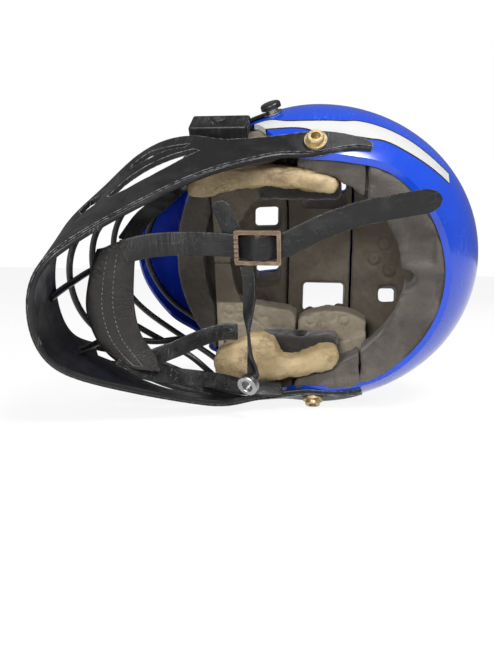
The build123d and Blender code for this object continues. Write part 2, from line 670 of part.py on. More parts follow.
def buckle():
    """Ladder frame: two side rails joined by cross bars, one of them toothed."""
    length, width = BUCKLE_SIZE
    frame = Box(length, width, BUCKLE_DEPTH)
    for low, high in zip(BUCKLE_BARS[:-1], BUCKLE_BARS[1:]):
        gap = high - low - BUCKLE_WIRE
        window = Box(gap, width - 2 * BUCKLE_WIRE, 2 * BUCKLE_DEPTH)
        frame = frame - Location(((low + high) / 2, 0, 0)) * window
    frame = fillet(frame.edges().filter_by(Axis.Z), BUCKLE_ROUND)
    pitch = (width - 2 * BUCKLE_WIRE) / BUCKLE_TEETH
    for index in range(BUCKLE_TEETH):
        y = (index - (BUCKLE_TEETH - 1) / 2) * pitch
        tooth = Box(BUCKLE_WIRE, pitch / 2, BUCKLE_TOOTH)
        frame = frame + Location((BUCKLE_BARS[2], y, -(BUCKLE_DEPTH + BUCKLE_TOOTH) / 2)) * tooth
    return Location(BUCKLE_PLACE) * frame


def cup_rows():
    """Rows of points across the cup, sagging outwards in the middle."""
    sag = Vector(CUP_SAG, 0, -CUP_SAG)
    rows = []
    for edges in CUP_SHARES:
        front, back = [Vector(*place) for place in placed(edges)]
        rows.append([front, (front + back) / 2 + sag, back])
    return rows


def snap_stud(side, x, z):
    plane = on_shell(x, z, side, 0)
    flange = Location((0, 0, SNAP_FLANGE_HEIGHT / 2)) * Cylinder(SNAP_STUD_FLANGE, SNAP_FLANGE_HEIGHT)
    post = Location((0, 0, SNAP_STUD_HEIGHT / 2)) * Cylinder(SNAP_STUD_RADIUS, SNAP_STUD_HEIGHT)
    return plane * (flange + post)


def snap_cap(side, x, z, lift):
    """Domed cap with an open underside that grips the stud."""
    cap = Location((0, 0, SNAP_CAP_HEIGHT / 2)) * Cylinder(SNAP_CAP_RADIUS, SNAP_CAP_HEIGHT)
    cap = fillet(cap.edges().group_by(Axis.Z)[-1], SNAP_CAP_HEIGHT / 2)
    hollow = SNAP_STUD_HEIGHT - lift + SNAP_CAP_CLEARANCE
    cap = cap - Cylinder(SNAP_STUD_RADIUS + SNAP_CAP_CLEARANCE, 2 * hollow)
    return on_shell(x, z, side, lift) * cap


def hanging_ring():
    """Toothed snap ring on the end of the short strap, turned edge on."""
    ring = Cylinder(RING_OUTER, RING_HEIGHT) - Cylinder(RING_INNER, 2 * RING_HEIGHT)
    ring = chamfer(ring.edges().group_by(Axis.Z)[-1], RING_CHAMFER)
    return Plane(origin=RING_PLACE, z_dir=RING_FACING) * ring


def hanging_disc():
    """The snap's plain back, beyond the strap end from the ring."""
    disc = Cylinder(DISC_RADIUS, DISC_HEIGHT)
    plane = Plane(origin=RING_PLACE, z_dir=RING_FACING)
    return plane * Location((0, 0, -(RING_HEIGHT + DISC_HEIGHT) / 2)) * disc


def visor_screw(side):
    x, z = VISOR_SCREW_PLACE
    y = VISOR_SCREW_Y
    screw = pan_screw(VISOR_SCREW_RADIUS, VISOR_SCREW_HEIGHT, CLIP_SCREW_SINK)
    return Plane(origin=(x, side * y, z), z_dir=(VISOR_SCREW_LEAN, side, 0)) * screw


def build_all():
    """Every node by name, upright."""
    vents = vent_cutters()
    nodes = {}
    nodes["outer_shell"] = outer_shell(vents)
    nodes["visor"] = visor()
    nodes["chin_guard"] = chin_guard()
    nodes["cage_wire_top"] = mirrored_wire(placed(WIRE_TOP_SHARES), WIRE_RADIUS)
    nodes["cage_wire_high"] = mirrored_wire(placed(WIRE_HIGH_SHARES), WIRE_RADIUS)
    nodes["cage_wire_middle"] = mirrored_wire(placed(WIRE_MIDDLE_SHARES), WIRE_RADIUS)
    nodes["cage_wire_low"] = mirrored_wire(placed(WIRE_LOW_SHARES), WIRE_RADIUS)
    nodes["cage_wire_centre"] = centre_wire()
    nodes["brow_band"] = brow_band()
    crown_z = (LINER_LOW_Z, CUT_DEPTH)
    front_x = (LINER_BAND_X[1] + LINER_SEAM, LINER_FRONT_X)
    rear_x = (LINER_REAR_X, LINER_BAND_X[0] - LINER_SEAM)
    crown_front = liner_piece(front_x, crown_z, LINER_INSIDE, vents)
    crown_middle = liner_piece(LINER_BAND_X, crown_z, LINER_INSIDE, vents)
    crown_rear = liner_piece(rear_x, crown_z, LINER_INSIDE, vents)
    nodes["crown_liner_front"] = with_buttons(crown_front, FRONT_BUTTON_SHARES)
    nodes["crown_liner_middle"] = with_buttons(crown_middle, MIDDLE_BUTTON_SHARES)
    nodes["crown_liner_rear"] = with_buttons(crown_rear, REAR_BUTTON_SHARES)
    ring = rear_ring()
    nodes["rear_pad"] = rear_pad(ring)
    nodes["rear_liner"] = liner_piece(REAR_LINER_X, SIDE_LINER_Z, REAR_LINER_INSIDE, [])
    side_seam_x = sum(SIDE_LINER_X) / 2
    side_front = liner_piece((side_seam_x + LINER_SEAM, SIDE_LINER_X[1]), SIDE_LINER_Z, SIDE_LINER_INSIDE, [])
    side_back = liner_piece((SIDE_LINER_X[0], side_seam_x), SIDE_LINER_Z, SIDE_LINER_INSIDE, [])
    jaw = liner_piece(JAW_LINER_X, JAW_LINER_Z, JAW_LINER_INSIDE, [])
    cheek_shares = {"left": CHEEK_LEFT_SHARES, "right": CHEEK_RIGHT_SHARES}
    for name, side in SIDES.items():
        cheek = cheek_block(cheek_shares[name], CHEEK_Z[name])
        nodes["cheek_pad_" + name] = cheek_pad(cheek)
        side_route = [(x, side * y, z) for x, y, z in placed(WIRE_SIDE_SHARES)]
        nodes["cage_wire_side_" + name] = wire(side_route, WIRE_RADIUS)
        nodes["mask_clip_" + name] = mask_clip(side)
        nodes["mask_clip_screw_" + name] = clip_screw(side)
        nodes["ear_bolt_" + name] = ear_bolt(side)
        nodes["rear_wing_" + name] = rear_wing(ring, side, cheek)
        nodes["ear_foam_" + name] = ear_foam(side)
        nodes["jaw_liner_" + name] = half(jaw, side)
        nodes["side_liner_front_" + name] = half(side_front, side)
        nodes["side_liner_back_" + name] = half(side_back, side)
        nodes["visor_screw_" + name] = visor_screw(side)
    nodes["temple_stud"] = snap_stud(SIDES["left"], *SNAP_PLACE)
    nodes["temple_snap"] = snap_cap(SIDES["left"], *SNAP_PLACE, SNAP_CAP_LIFT)
    nodes["chin_cup"] = patch(cup_rows(), CUP_THICKNESS, (1, 0, -1))
    nodes["chin_cup_lining"] = patch(cup_rows(), CUP_LINING_THICKNESS, (-1, 0, 1))
    nodes["main_strap"] = strip(MAIN_STRAP, STRAP_WIDTH, STRAP_THICKNESS)
    nodes["strap_tail"] = strip(TAIL_STRAP, STRAP_WIDTH, STRAP_THICKNESS)
    nodes["strap_loop_end"] = strip(LOOP_TAIL, SIDE_STRAP_WIDTH, SIDE_STRAP_THICKNESS)
    nodes["hanging_strap"] = strip(HANG_STRAP, HANG_WIDTH, HANG_THICKNESS)
    nodes["hanging_snap_ring"] = hanging_ring()
    nodes["hanging_snap_disc"] = hanging_disc()
    nodes["front_left_strap"] = strip(FRONT_LEFT_STRAP, SIDE_STRAP_WIDTH, SIDE_STRAP_THICKNESS)
    nodes["front_right_strap"] = strip(FRONT_RIGHT_STRAP, SIDE_STRAP_WIDTH, SIDE_STRAP_THICKNESS)
    nodes["rear_right_strap"] = strip(REAR_RIGHT_STRAP, SIDE_STRAP_WIDTH, SIDE_STRAP_THICKNESS)
    nodes["buckle"] = buckle()
    return nodes


def laid_down(nodes):
    """Turn the upright helmet onto its right side and put the middle of its underside at the origin."""
    turn = Rot(X=LAY_TILT) * Location(Plane(origin=(0, 0, 0), x_dir=(-1, 0, 0), z_dir=(0, 1, 0)))
    turned = {name: turn * shape for name, shape in nodes.items()}
    boxes = [shape.bounding_box() for shape in turned.values()]
    low = Vector(min(b.min.X for b in boxes), min(b.min.Y for b in boxes), min(b.min.Z for b in boxes))
    high = Vector(max(b.max.X for b in boxes), max(b.max.Y for b in boxes), max(b.max.Z for b in boxes))
    shift = Location((-(low.X + high.X) / 2, -(low.Y + high.Y) / 2, -low.Z))
    return {name: shift * shape for name, shape in turned.items()}


LINER_OUTSIDE = shell_form(LINER_GAP)
for name, shape in laid_down(build_all()).items():
    export_step(shape, "parts/" + name + ".step")
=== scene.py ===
import bmesh
import bpy
import json
import math
from mathutils import Matrix, Vector, noise


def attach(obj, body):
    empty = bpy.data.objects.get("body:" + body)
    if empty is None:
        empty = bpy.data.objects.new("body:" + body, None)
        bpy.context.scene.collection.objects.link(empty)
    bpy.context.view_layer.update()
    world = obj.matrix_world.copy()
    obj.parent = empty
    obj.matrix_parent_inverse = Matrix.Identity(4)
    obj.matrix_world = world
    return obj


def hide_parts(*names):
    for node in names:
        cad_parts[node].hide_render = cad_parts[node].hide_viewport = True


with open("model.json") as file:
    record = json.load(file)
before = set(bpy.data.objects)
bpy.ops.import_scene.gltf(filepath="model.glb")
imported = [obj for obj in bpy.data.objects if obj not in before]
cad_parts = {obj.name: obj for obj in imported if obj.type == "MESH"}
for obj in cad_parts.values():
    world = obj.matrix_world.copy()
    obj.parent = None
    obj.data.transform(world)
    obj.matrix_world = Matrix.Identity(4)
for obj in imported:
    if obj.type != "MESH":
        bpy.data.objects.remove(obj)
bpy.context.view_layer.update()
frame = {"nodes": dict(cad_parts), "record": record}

MM = 0.001
LAY_TILT = math.radians(15.6)
ORIGIN = (31.618, -10.803, 100.661)

# The shell's form, as four quarter ellipsoids, in millimetres on the upright helmet
SHELL_MIDDLE = (5.0, 0.0, 51.0)
SHELL_FRONT = 113.0
SHELL_BACK = 124.0
SHELL_HALF_WIDTH = 116.0
SHELL_UP = 75.0
SHELL_DOWN = 91.0
SHELL_WALL = 3.0
LINER_INSIDE = 33.0
RIM = [
    (-140, -5), (-90, -4), (-50, -3), (-20, -7), (12, -7), (30, 6), (48, 30), (72, 46), (100, 56),
    (125, 62),
]
VENTS = [
    (47, 24, 90, 20, 18), (-1, 44, 86, 36, 25), (-55, 38, 80, 14, 13),
]
VENT_LEANS = [(0.15, -0.13), (0.05, 0.33), (0.0, 0.4)]
VENT_CORNER = 3.0
VENT_CUT_DEPTH = 130.0
BOLT_PLACE = (1.5, -3.5)
BOLT_HOLE_RADIUS = 3.55
BOLT_CUT_DEPTH = 60.0

# The upright helmet's forward, left and up, on its right side in the frame: x goes back, y up and z away
LAID_DOWN = Matrix(((-1, 0, 0), (0, 0, 1), (0, 1, 0)))
TURN = Matrix.Rotation(LAY_TILT, 3, "X") @ LAID_DOWN
HELMET = Matrix.Translation(Vector(ORIGIN) * MM) @ TURN.to_4x4() @ Matrix.Diagonal((MM, MM, MM, 1))
UPRIGHT = HELMET.inverted()


def at(x, y, z):
    """The world place of a point of the upright helmet, given in millimetres."""
    return HELMET @ Vector((x, y, z))


def facing(x, y, z):
    """The world direction of a direction on the upright helmet."""
    return (TURN @ Vector((x, y, z))).normalized()


# ---------------------------------------------------------------- bodies and slots
BODIES = frame["record"]["behaviour"]["bodies"]
BODY_OF = {node: body for body, nodes in BODIES.items() for node in nodes}
SLOT_OF = {part["node"]: part["material_slot"] for part in frame["record"]["subparts"]}


def linked(name, data):
    """An object of the mesh, lamp or camera, in the scene."""
    piece = bpy.data.objects.new(name, data)
    bpy.context.scene.collection.objects.link(piece)
    return piece


def in_place_of(piece, node, *others):
    """The piece takes its slot's finish, stands for its CAD node and moves with it."""
    piece.data.materials.clear()
    piece.data.materials.append(FINISH["raised_pad" if node in RAISED_PADS else SLOT_OF[node]])
    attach(piece, BODY_OF[node])
    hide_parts(node, *others)
    return piece


def piece_from(work, name):
    """The working mesh as an object, and the working mesh freed."""
    mesh = bpy.data.meshes.new(name)
    work.to_mesh(mesh)
    work.free()
    return linked(name, mesh)


def merged_copy(node, name):
    """A copy of a node's mesh with its loose triangles joined up."""
    mesh = frame["nodes"][node].data.copy()
    mesh.name = name
    mesh.materials.clear()
    written_normals = mesh.attributes.get("custom_normal")
    if written_normals:
        mesh.attributes.remove(written_normals)
    work = bmesh.new()
    work.from_mesh(mesh)
    bmesh.ops.remove_doubles(work, verts=work.verts, dist=0.00002)
    bmesh.ops.dissolve_degenerate(work, edges=work.edges, dist=0.000002)
    work.to_mesh(mesh)
    work.free()
    return linked(name, mesh)


def shaded(piece, degrees):
    """Smooth shading that keeps edges sharper than the angle."""
    mesh = piece.data
    mesh.shade_smooth()
    mesh.set_sharp_from_angle(angle=math.radians(degrees))
    return piece


def baked(piece):
    """The piece with its modifiers made part of its mesh."""
    bpy.context.view_layer.update()
    graph = bpy.context.evaluated_depsgraph_get()
    mesh = bpy.data.meshes.new_from_object(piece.evaluated_get(graph))
    piece.modifiers.clear()
    piece.data = mesh
    return piece


def softened(piece, voxel, rounds):
    """An even, rounded-off skin over a soft solid."""
    even = piece.modifiers.new("even", "REMESH")
    even.mode = "VOXEL"
    even.voxel_size = voxel
    ease = piece.modifiers.new("ease", "SMOOTH")
    ease.factor = 0.5
    ease.iterations = rounds
    baked(piece)
    piece.data.shade_smooth()
    return piece


def moved_by(piece, move):
    """Each point goes along its normal by what the function says, in metres."""
    mesh = piece.data
    normals = [vertex.normal.copy() for vertex in mesh.vertices]
    for vertex, normal in zip(mesh.vertices, normals):
        vertex.co += normal * move(vertex.co, normal)
    mesh.update()
    return piece


def wrinkles(size, depth, seed):
    """Soft folds of about the given size, as a move along the normal."""
    shift = seed * Vector((7.3, 3.1, 5.7))

    def move(place, normal):
        swell = noise.noise(place / size + shift)
        crease = 1 - abs(noise.noise(place / (size * 0.55) + shift * 2)) * 3
        return depth * (swell * 0.7 - max(crease, 0) * 0.6)

    return move


def through(points, share):
    """A place on the smooth curve through the points, and the direction of travel there."""
    last = len(points) - 1
    spot = min(max(share, 0.0), 1.0) * last
    index = min(int(spot), last - 1)
    t = spot - index
    before, start = points[max(index - 1, 0)], points[index]
    stop, after = points[index + 1], points[min(index + 2, last)]
    if index == 0:
        before = start * 2 - stop
    if index + 1 == last:
        after = stop * 2 - start
    lead, out = (stop - before) / 2, (after - start) / 2
    place = (
        start * (2 * t**3 - 3 * t**2 + 1) + lead * (t**3 - 2 * t**2 + t)
        + stop * (3 * t**2 - 2 * t**3) + out * (t**3 - t**2)
    )
    travel = (
        start * (6 * t**2 - 6 * t) + lead * (3 * t**2 - 4 * t + 1)
        + stop * (6 * t - 6 * t**2) + out * (3 * t**2 - 2 * t)
    )
    return place, travel.normalized()


# ---------------------------------------------------------------- node tools for the finishes
def place_node(tree, kind, settings=None, **inputs):
    """A node with its settings, and its sockets, named or numbered as i0, i1 and so on, set or linked."""
    node = tree.nodes.new(kind)
    for key, value in (settings or {}).items():
        setattr(node, key, value)
    for key, value in inputs.items():
        by_number = key[0] == "i" and key[1:].isdigit()
        socket = node.inputs[int(key[1:]) if by_number else key.replace("_", " ")]
        if isinstance(value, bpy.types.NodeSocket):
            tree.links.new(value, socket)
        else:
            socket.default_value = value
    return node


def maths(tree, operation, first, second=0.0, clamp=False):
    """One sum, each side a number or a socket."""
    settings = {"operation": operation, "use_clamp": clamp}
    return place_node(tree, "ShaderNodeMath", settings, i0=first, i1=second).outputs[0]


def ramped(tree, value, low, high):
    """The value run from 0 at low to 1 at high, eased."""
    node = place_node(
        tree, "ShaderNodeMapRange", {"interpolation_type": "SMOOTHSTEP"},
        Value=value, From_Min=low, From_Max=high,
    )
    return node.outputs["Result"]


def mixed(tree, share, first, second):
    """Two colours mixed by a mask."""
    node = place_node(tree, "ShaderNodeMix", {"data_type": "RGBA"}, i0=share, i6=first, i7=second)
    return node.outputs[2]


def noise_value(tree, vector, scale, detail=4.0, roughness=0.55, distortion=0.0):
    node = place_node(
        tree, "ShaderNodeTexNoise",
        Vector=vector, Scale=scale, Detail=detail, Roughness=roughness, Distortion=distortion,
    )
    return node.outputs[0]


def group(name, defaults, outputs, build):
    """A shared effect: a node group that takes a place and numbers with defaults, and gives numbers."""
    tree = bpy.data.node_groups.new(name, "ShaderNodeTree")
    tree.interface.new_socket(name="Vector", in_out="INPUT", socket_type="NodeSocketVector")
    for label, default in defaults.items():
        socket = tree.interface.new_socket(name=label, in_out="INPUT", socket_type="NodeSocketFloat")
        socket.default_value = default
    for label in outputs:
        tree.interface.new_socket(name=label, in_out="OUTPUT", socket_type="NodeSocketFloat")
    entry = tree.nodes.new("NodeGroupInput")
    leave = tree.nodes.new("NodeGroupOutput")
    for label, socket in build(tree, entry.outputs).items():
        tree.links.new(socket, leave.inputs[label])
    return tree


def build_scratches(tree, given):
    """Fine straight scratches in a few directions."""
    total = None
    for turn, stretch in (((0.3, 0.2, 0.5), 14.0), ((1.1, 0.7, 2.0), 22.0), ((2.2, 1.4, 0.9), 17.0)):
        turned = place_node(tree, "ShaderNodeMapping", Vector=given["Vector"], Rotation=turn)
        turned.inputs["Scale"].default_value = (1.0, 1.0 / stretch, 1.0 / stretch)
        value = noise_value(tree, turned.outputs[0], given["Scale"], 2.0, 0.5)
        line = maths(tree, "ABSOLUTE", maths(tree, "SUBTRACT", value, 0.5))
        mark = maths(tree, "SUBTRACT", 1.0, ramped(tree, line, 0.0, 0.006))
        total = mark if total is None else maths(tree, "MAXIMUM", total, mark)
    patchy = ramped(tree, noise_value(tree, given["Vector"], 28.0, 3.0), 0.5, 0.68)
    mask = maths(tree, "MULTIPLY", maths(tree, "MULTIPLY", total, patchy), given["Amount"])
    return {"Mask": mask}


def build_edge_wear(tree, given):
    """Where edges have rubbed bright."""
    rounded = place_node(tree, "ShaderNodeBevel", {"samples": 6}, Radius=given["Radius"])
    plain = place_node(tree, "ShaderNodeNewGeometry")
    dot = place_node(tree, "ShaderNodeVectorMath", {"operation": "DOT_PRODUCT"})
    tree.links.new(rounded.outputs[0], dot.inputs[0])
    tree.links.new(plain.outputs["Normal"], dot.inputs[1])
    edge = maths(tree, "SUBTRACT", 1.0, dot.outputs["Value"])
    broken = ramped(tree, noise_value(tree, given["Vector"], 320.0, 5.0, 0.7), 0.38, 0.62)
    mask = maths(tree, "MULTIPLY", ramped(tree, edge, 0.015, 0.12), broken)
    return {"Mask": maths(tree, "MULTIPLY", mask, given["Amount"])}


def build_clouds(tree, given):
    """Broad uneven patches, for stains, dust and fading."""
    broad = noise_value(tree, given["Vector"], given["Scale"], 5.0, 0.62, 0.4)
    return {"Mask": ramped(tree, broad, given["Low"], given["High"])}


def build_grain(tree, given):
    """Moulded grain: small cells over a finer tooth."""
    cells = place_node(
        tree, "ShaderNodeTexVoronoi", {"feature": "SMOOTH_F1"}, Vector=given["Vector"], Scale=given["Scale"]
    )
    tooth = noise_value(tree, given["Vector"], maths(tree, "MULTIPLY", given["Scale"], 2.6), 3.0)
    height = maths(tree, "ADD", cells.outputs["Distance"], maths(tree, "MULTIPLY", tooth, 0.5))
    return {"Height": height}


def build_creases(tree, given):
    """Long cracks and folds of worn skin."""
    bent = place_node(tree, "ShaderNodeMapping", Vector=given["Vector"], Rotation=(0.2, 0.1, 0.35))
    bent.inputs["Scale"].default_value = (0.45, 1.0, 1.0)
    wander = place_node(tree, "ShaderNodeTexNoise", Vector=given["Vector"], Scale=60.0, Detail=3.0)
    shifted = place_node(tree, "ShaderNodeVectorMath", {"operation": "MULTIPLY_ADD"})
    tree.links.new(wander.outputs["Color"], shifted.inputs[0])
    shifted.inputs[1].default_value = (0.012, 0.012, 0.012)
    tree.links.new(bent.outputs[0], shifted.inputs[2])
    net = place_node(
        tree, "ShaderNodeTexVoronoi", {"feature": "DISTANCE_TO_EDGE"}, Vector=shifted.outputs[0],
        Scale=given["Scale"],
    )
    line = maths(tree, "SUBTRACT", 1.0, ramped(tree, net.outputs["Distance"], 0.0, given["Width"]))
    patchy = ramped(tree, noise_value(tree, given["Vector"], 45.0, 3.0), 0.4, 0.6)
    return {"Mask": maths(tree, "MULTIPLY", line, patchy)}


def build_fuzz(tree, given):
    """Short matted fibres."""
    fibres = place_node(
        tree, "ShaderNodeTexNoise", Vector=given["Vector"], Scale=given["Scale"], Detail=6.0,
        Roughness=0.8, Distortion=1.6,
    )
    pills = place_node(
        tree, "ShaderNodeTexVoronoi", {"feature": "F1"}, Vector=given["Vector"],
        Scale=maths(tree, "MULTIPLY", given["Scale"], 0.35),
    )
    hollows = maths(tree, "MULTIPLY", pills.outputs["Distance"], 0.4)
    height = maths(tree, "SUBTRACT", fibres.outputs[0], hollows)
    return {"Height": height, "Mask": ramped(tree, fibres.outputs[0], 0.45, 0.72)}


SCRATCHES = group("fine_scratches", {"Scale": 260.0, "Amount": 1.0}, ["Mask"], build_scratches)
EDGE_WEAR = group("rubbed_edges", {"Radius": 0.0008, "Amount": 1.0}, ["Mask"], build_edge_wear)
CLOUDS = group("uneven_patches", {"Scale": 30.0, "Low": 0.4, "High": 0.65}, ["Mask"], build_clouds)
GRAIN = group("moulded_grain", {"Scale": 900.0}, ["Height"], build_grain)
CREASES = group("skin_creases", {"Scale": 90.0, "Width": 0.06}, ["Mask"], build_creases)
FUZZ = group("matted_fibres", {"Scale": 900.0}, ["Height", "Mask"], build_fuzz)


class Finish:
    """A material under construction: its colour, roughness and height build up from masks."""

    def __init__(self, name, colour, roughness, metallic=0.0):
        self.material = bpy.data.materials.new(name)
        self.material.use_nodes = True
        self.tree = self.material.node_tree
        self.shader = self.tree.nodes["Principled BSDF"]
        self.shader.inputs["Base Color"].default_value = (*colour, 1.0)
        self.shader.inputs["Roughness"].default_value = roughness
        self.shader.inputs["Metallic"].default_value = metallic
        self.place = self.tree.nodes.new("ShaderNodeTexCoord").outputs["Object"]
        self.colour = (*colour, 1.0)
        self.roughness = roughness
        self.normal = None

    def mask(self, shared, label="Mask", **inputs):
        node = self.tree.nodes.new("ShaderNodeGroup")
        node.node_tree = shared
        self.tree.links.new(self.place, node.inputs["Vector"])
        for key, value in inputs.items():
            node.inputs[key].default_value = value
        return node.outputs[label]

    def tint(self, share, colour, strength=1.0):
        if strength != 1.0:
            share = maths(self.tree, "MULTIPLY", share, strength)
        self.colour = mixed(self.tree, share, self.colour, (*colour, 1.0))
        return self

    def rough(self, share, amount):
        """Roughness rises, or falls, by the amount where the mask is 1."""
        change = maths(self.tree, "MULTIPLY", share, amount)
        self.roughness = maths(self.tree, "ADD", self.roughness, change, True)
        return self

    def patched(self, scale, colour, strength, low=0.4, high=0.65):
        """Uneven patches of a colour; they cover more where low and high are small."""
        return self.tint(self.mask(CLOUDS, Scale=scale, Low=low, High=high), colour, strength)

    def uneven(self, scale, amount, low=0.4, high=0.65):
        """Roughness changed in uneven patches."""
        return self.rough(self.mask(CLOUDS, Scale=scale, Low=low, High=high), amount)

    def grained(self, scale, depth):
        """Moulded grain of a depth in metres."""
        return self.raised(self.mask(GRAIN, "Height", Scale=scale), depth)

    def raised(self, height, depth):
        """Relief, in metres."""
        bump = place_node(self.tree, "ShaderNodeBump", Height=height)
        bump.inputs["Distance"].default_value = depth
        if self.normal is not None:
            self.tree.links.new(self.normal, bump.inputs["Normal"])
        self.normal = bump.outputs[0]
        return self

    def set(self, **values):
        for key, value in values.items():
            self.shader.inputs[key.replace("_", " ")].default_value = value
        return self

    def done(self):
        ends = {"Base Color": self.colour, "Roughness": self.roughness, "Normal": self.normal}
        for label, value in ends.items():
            if isinstance(value, bpy.types.NodeSocket):
                self.tree.links.new(value, self.shader.inputs[label])
        return self.material


def upright_place(finish):
    """Object coordinates turned to the upright helmet, in metres: x forward, y left, z up."""
    turn = Matrix.Rotation(-LAY_TILT, 3, "X")
    centre = turn @ HELMET.translation
    node = place_node(finish.tree, "ShaderNodeMapping", Vector=finish.place, Rotation=(-LAY_TILT, 0, 0))
    node.inputs["Location"].default_value = -centre
    parts = place_node(finish.tree, "ShaderNodeSeparateXYZ", Vector=node.outputs[0])
    along = maths(finish.tree, "MULTIPLY", parts.outputs[0], -1.0)
    return along, parts.outputs[2], parts.outputs[1]


def line_height(finish, along, points, span=(-110.0, 60.0), rise=(0.0, 40.0)):
    """Height over x of a line through points in millimetres, as a socket in metres."""
    share = place_node(
        finish.tree, "ShaderNodeMapRange", Value=along, From_Min=span[0] * MM, From_Max=span[1] * MM
    ).outputs["Result"]
    curve = finish.tree.nodes.new("ShaderNodeFloatCurve")
    handles = curve.mapping.curves[0].points
    length, height = span[1] - span[0], rise[1] - rise[0]
    spots = sorted(((x - span[0]) / length, (z - rise[0]) / height) for x, z in points)
    handles[0].location = spots[0]
    handles[1].location = spots[-1]
    for spot in spots[1:-1]:
        handles.new(*spot)
    curve.mapping.update()
    finish.tree.links.new(share, curve.inputs["Value"])
    return place_node(
        finish.tree, "ShaderNodeMapRange", {"clamp": False}, Value=curve.outputs[0],
        To_Min=rise[0] * MM, To_Max=rise[1] * MM,
    ).outputs["Result"]


# The white stripe on the shell's sides: lower and upper edge as (forward, up), and where it starts and ends
STRIPE_START = -0.09
STRIPE_END = 0.05
STRIPE_LEAST_SIDE = 0.03
STRIPE_OUTLINE = 0.0013
STRIPE_SOFT_EDGE = 0.0002
STRIPE_LOW = [
    (47, 21.5), (31, 14), (9, 8.7), (4, 6.8), (-5.5, 4.9), (-30, 7.4), (-46, 11.6), (-61, 13),
    (-76, 16), (-90, 20.5),
]
STRIPE_HIGH = [
    (52, 30.5), (39.5, 27.5), (13.7, 16), (-13.6, 17), (-26, 21), (-37.5, 22.7), (-58, 24.4),
    (-77, 25.2), (-90, 28.4),
]


def shell_finish():
    finish = Finish("royal_blue_gloss", (0.004, 0.04, 0.4), 0.2)
    tree = finish.tree
    along, across, up = upright_place(finish)
    finish.patched(14.0, (0.006, 0.06, 0.5), 0.6, 0.35, 0.75)
    low = line_height(finish, along, STRIPE_LOW)
    high = line_height(finish, along, STRIPE_HIGH)
    on_side = maths(tree, "GREATER_THAN", maths(tree, "ABSOLUTE", across), STRIPE_LEAST_SIDE)
    past_start = maths(tree, "GREATER_THAN", along, STRIPE_START)
    before_end = maths(tree, "LESS_THAN", along, STRIPE_END)
    region = maths(tree, "MULTIPLY", on_side, maths(tree, "MULTIPLY", past_start, before_end))

    def between(margin):
        """1 between the stripe's two edges, each moved out by the margin."""
        edge = (-margin - STRIPE_SOFT_EDGE, -margin + STRIPE_SOFT_EDGE)
        above = ramped(tree, maths(tree, "SUBTRACT", up, low), *edge)
        below = ramped(tree, maths(tree, "SUBTRACT", high, up), *edge)
        return maths(tree, "MULTIPLY", maths(tree, "MULTIPLY", above, below), region)

    finish.tint(between(STRIPE_OUTLINE), (0.01, 0.01, 0.012))
    finish.tint(between(0.0), (0.46, 0.46, 0.45))
    marks = finish.mask(SCRATCHES, Scale=150.0, Amount=0.5)
    finish.tint(marks, (0.2, 0.28, 0.55), 0.35)
    finish.rough(marks, 0.08)
    finish.uneven(40.0, 0.1, 0.45, 0.7)
    finish.raised(finish.mask(CLOUDS, Scale=120.0, Low=0.3, High=0.7), 0.00002)
    finish.set(Coat_Weight=0.35, Coat_Roughness=0.12)
    return finish.done()


def visor_finish():
    finish = Finish("visor_blue_gloss", (0.006, 0.03, 0.4), 0.2)
    finish.patched(18.0, (0.01, 0.02, 0.12), 0.5)
    marks = finish.mask(SCRATCHES, Scale=240.0, Amount=1.0)
    finish.tint(marks, (0.25, 0.32, 0.55), 0.5).rough(marks, 0.3)
    finish.set(Coat_Weight=0.4, Coat_Roughness=0.1)
    return finish.done()


def black_plastic_finish():
    finish = Finish("scuffed_black_plastic", (0.006, 0.006, 0.0065), 0.3)
    worn = finish.mask(EDGE_WEAR, Radius=0.0009, Amount=0.9)
    finish.patched(34.0, (0.02, 0.02, 0.021), 0.6, 0.45, 0.7)
    marks = finish.mask(SCRATCHES, Scale=190.0, Amount=1.0)
    finish.tint(marks, (0.2, 0.2, 0.2), 0.45)
    finish.tint(worn, (0.42, 0.42, 0.44), 0.8)
    finish.uneven(60.0, 0.22, 0.4, 0.7).rough(marks, 0.2).rough(worn, 0.15)
    finish.grained(1300.0, 0.00009)
    finish.set(Specular_IOR_Level=0.3)
    return finish.done()


def wire_finish():
    finish = Finish("coated_black_wire", (0.006, 0.006, 0.0065), 0.32)
    finish.patched(120.0, (0.04, 0.04, 0.042), 0.7, 0.55, 0.72)
    marks = finish.mask(SCRATCHES, Scale=420.0, Amount=0.9)
    finish.tint(marks, (0.3, 0.3, 0.3), 0.5).rough(marks, 0.2)
    finish.grained(1600.0, 0.00008)
    return finish.done()


def metal_finish(name, look, patches, wear, unevenness, grain):
    """Worn metal: patches, rubbed edges, uneven shine and a fine grain."""
    finish = Finish(name, *look)
    radius, bright, strength = wear
    finish.patched(*patches)
    finish.tint(finish.mask(EDGE_WEAR, Radius=radius, Amount=1.0), bright, strength)
    return finish.uneven(*unevenness).grained(*grain).done()


# The raised pads' inner edge and their top, in metres on the upright helmet, and the liner's dark and light,
# browns that are partly the foam's own colour and partly painted shade
RAISED_PAD_EDGE = -0.0325
RAISED_PAD_TOP = 0.0575
LINER_BROWNS = ((0.08, 0.061, 0.041), (0.14, 0.112, 0.078))


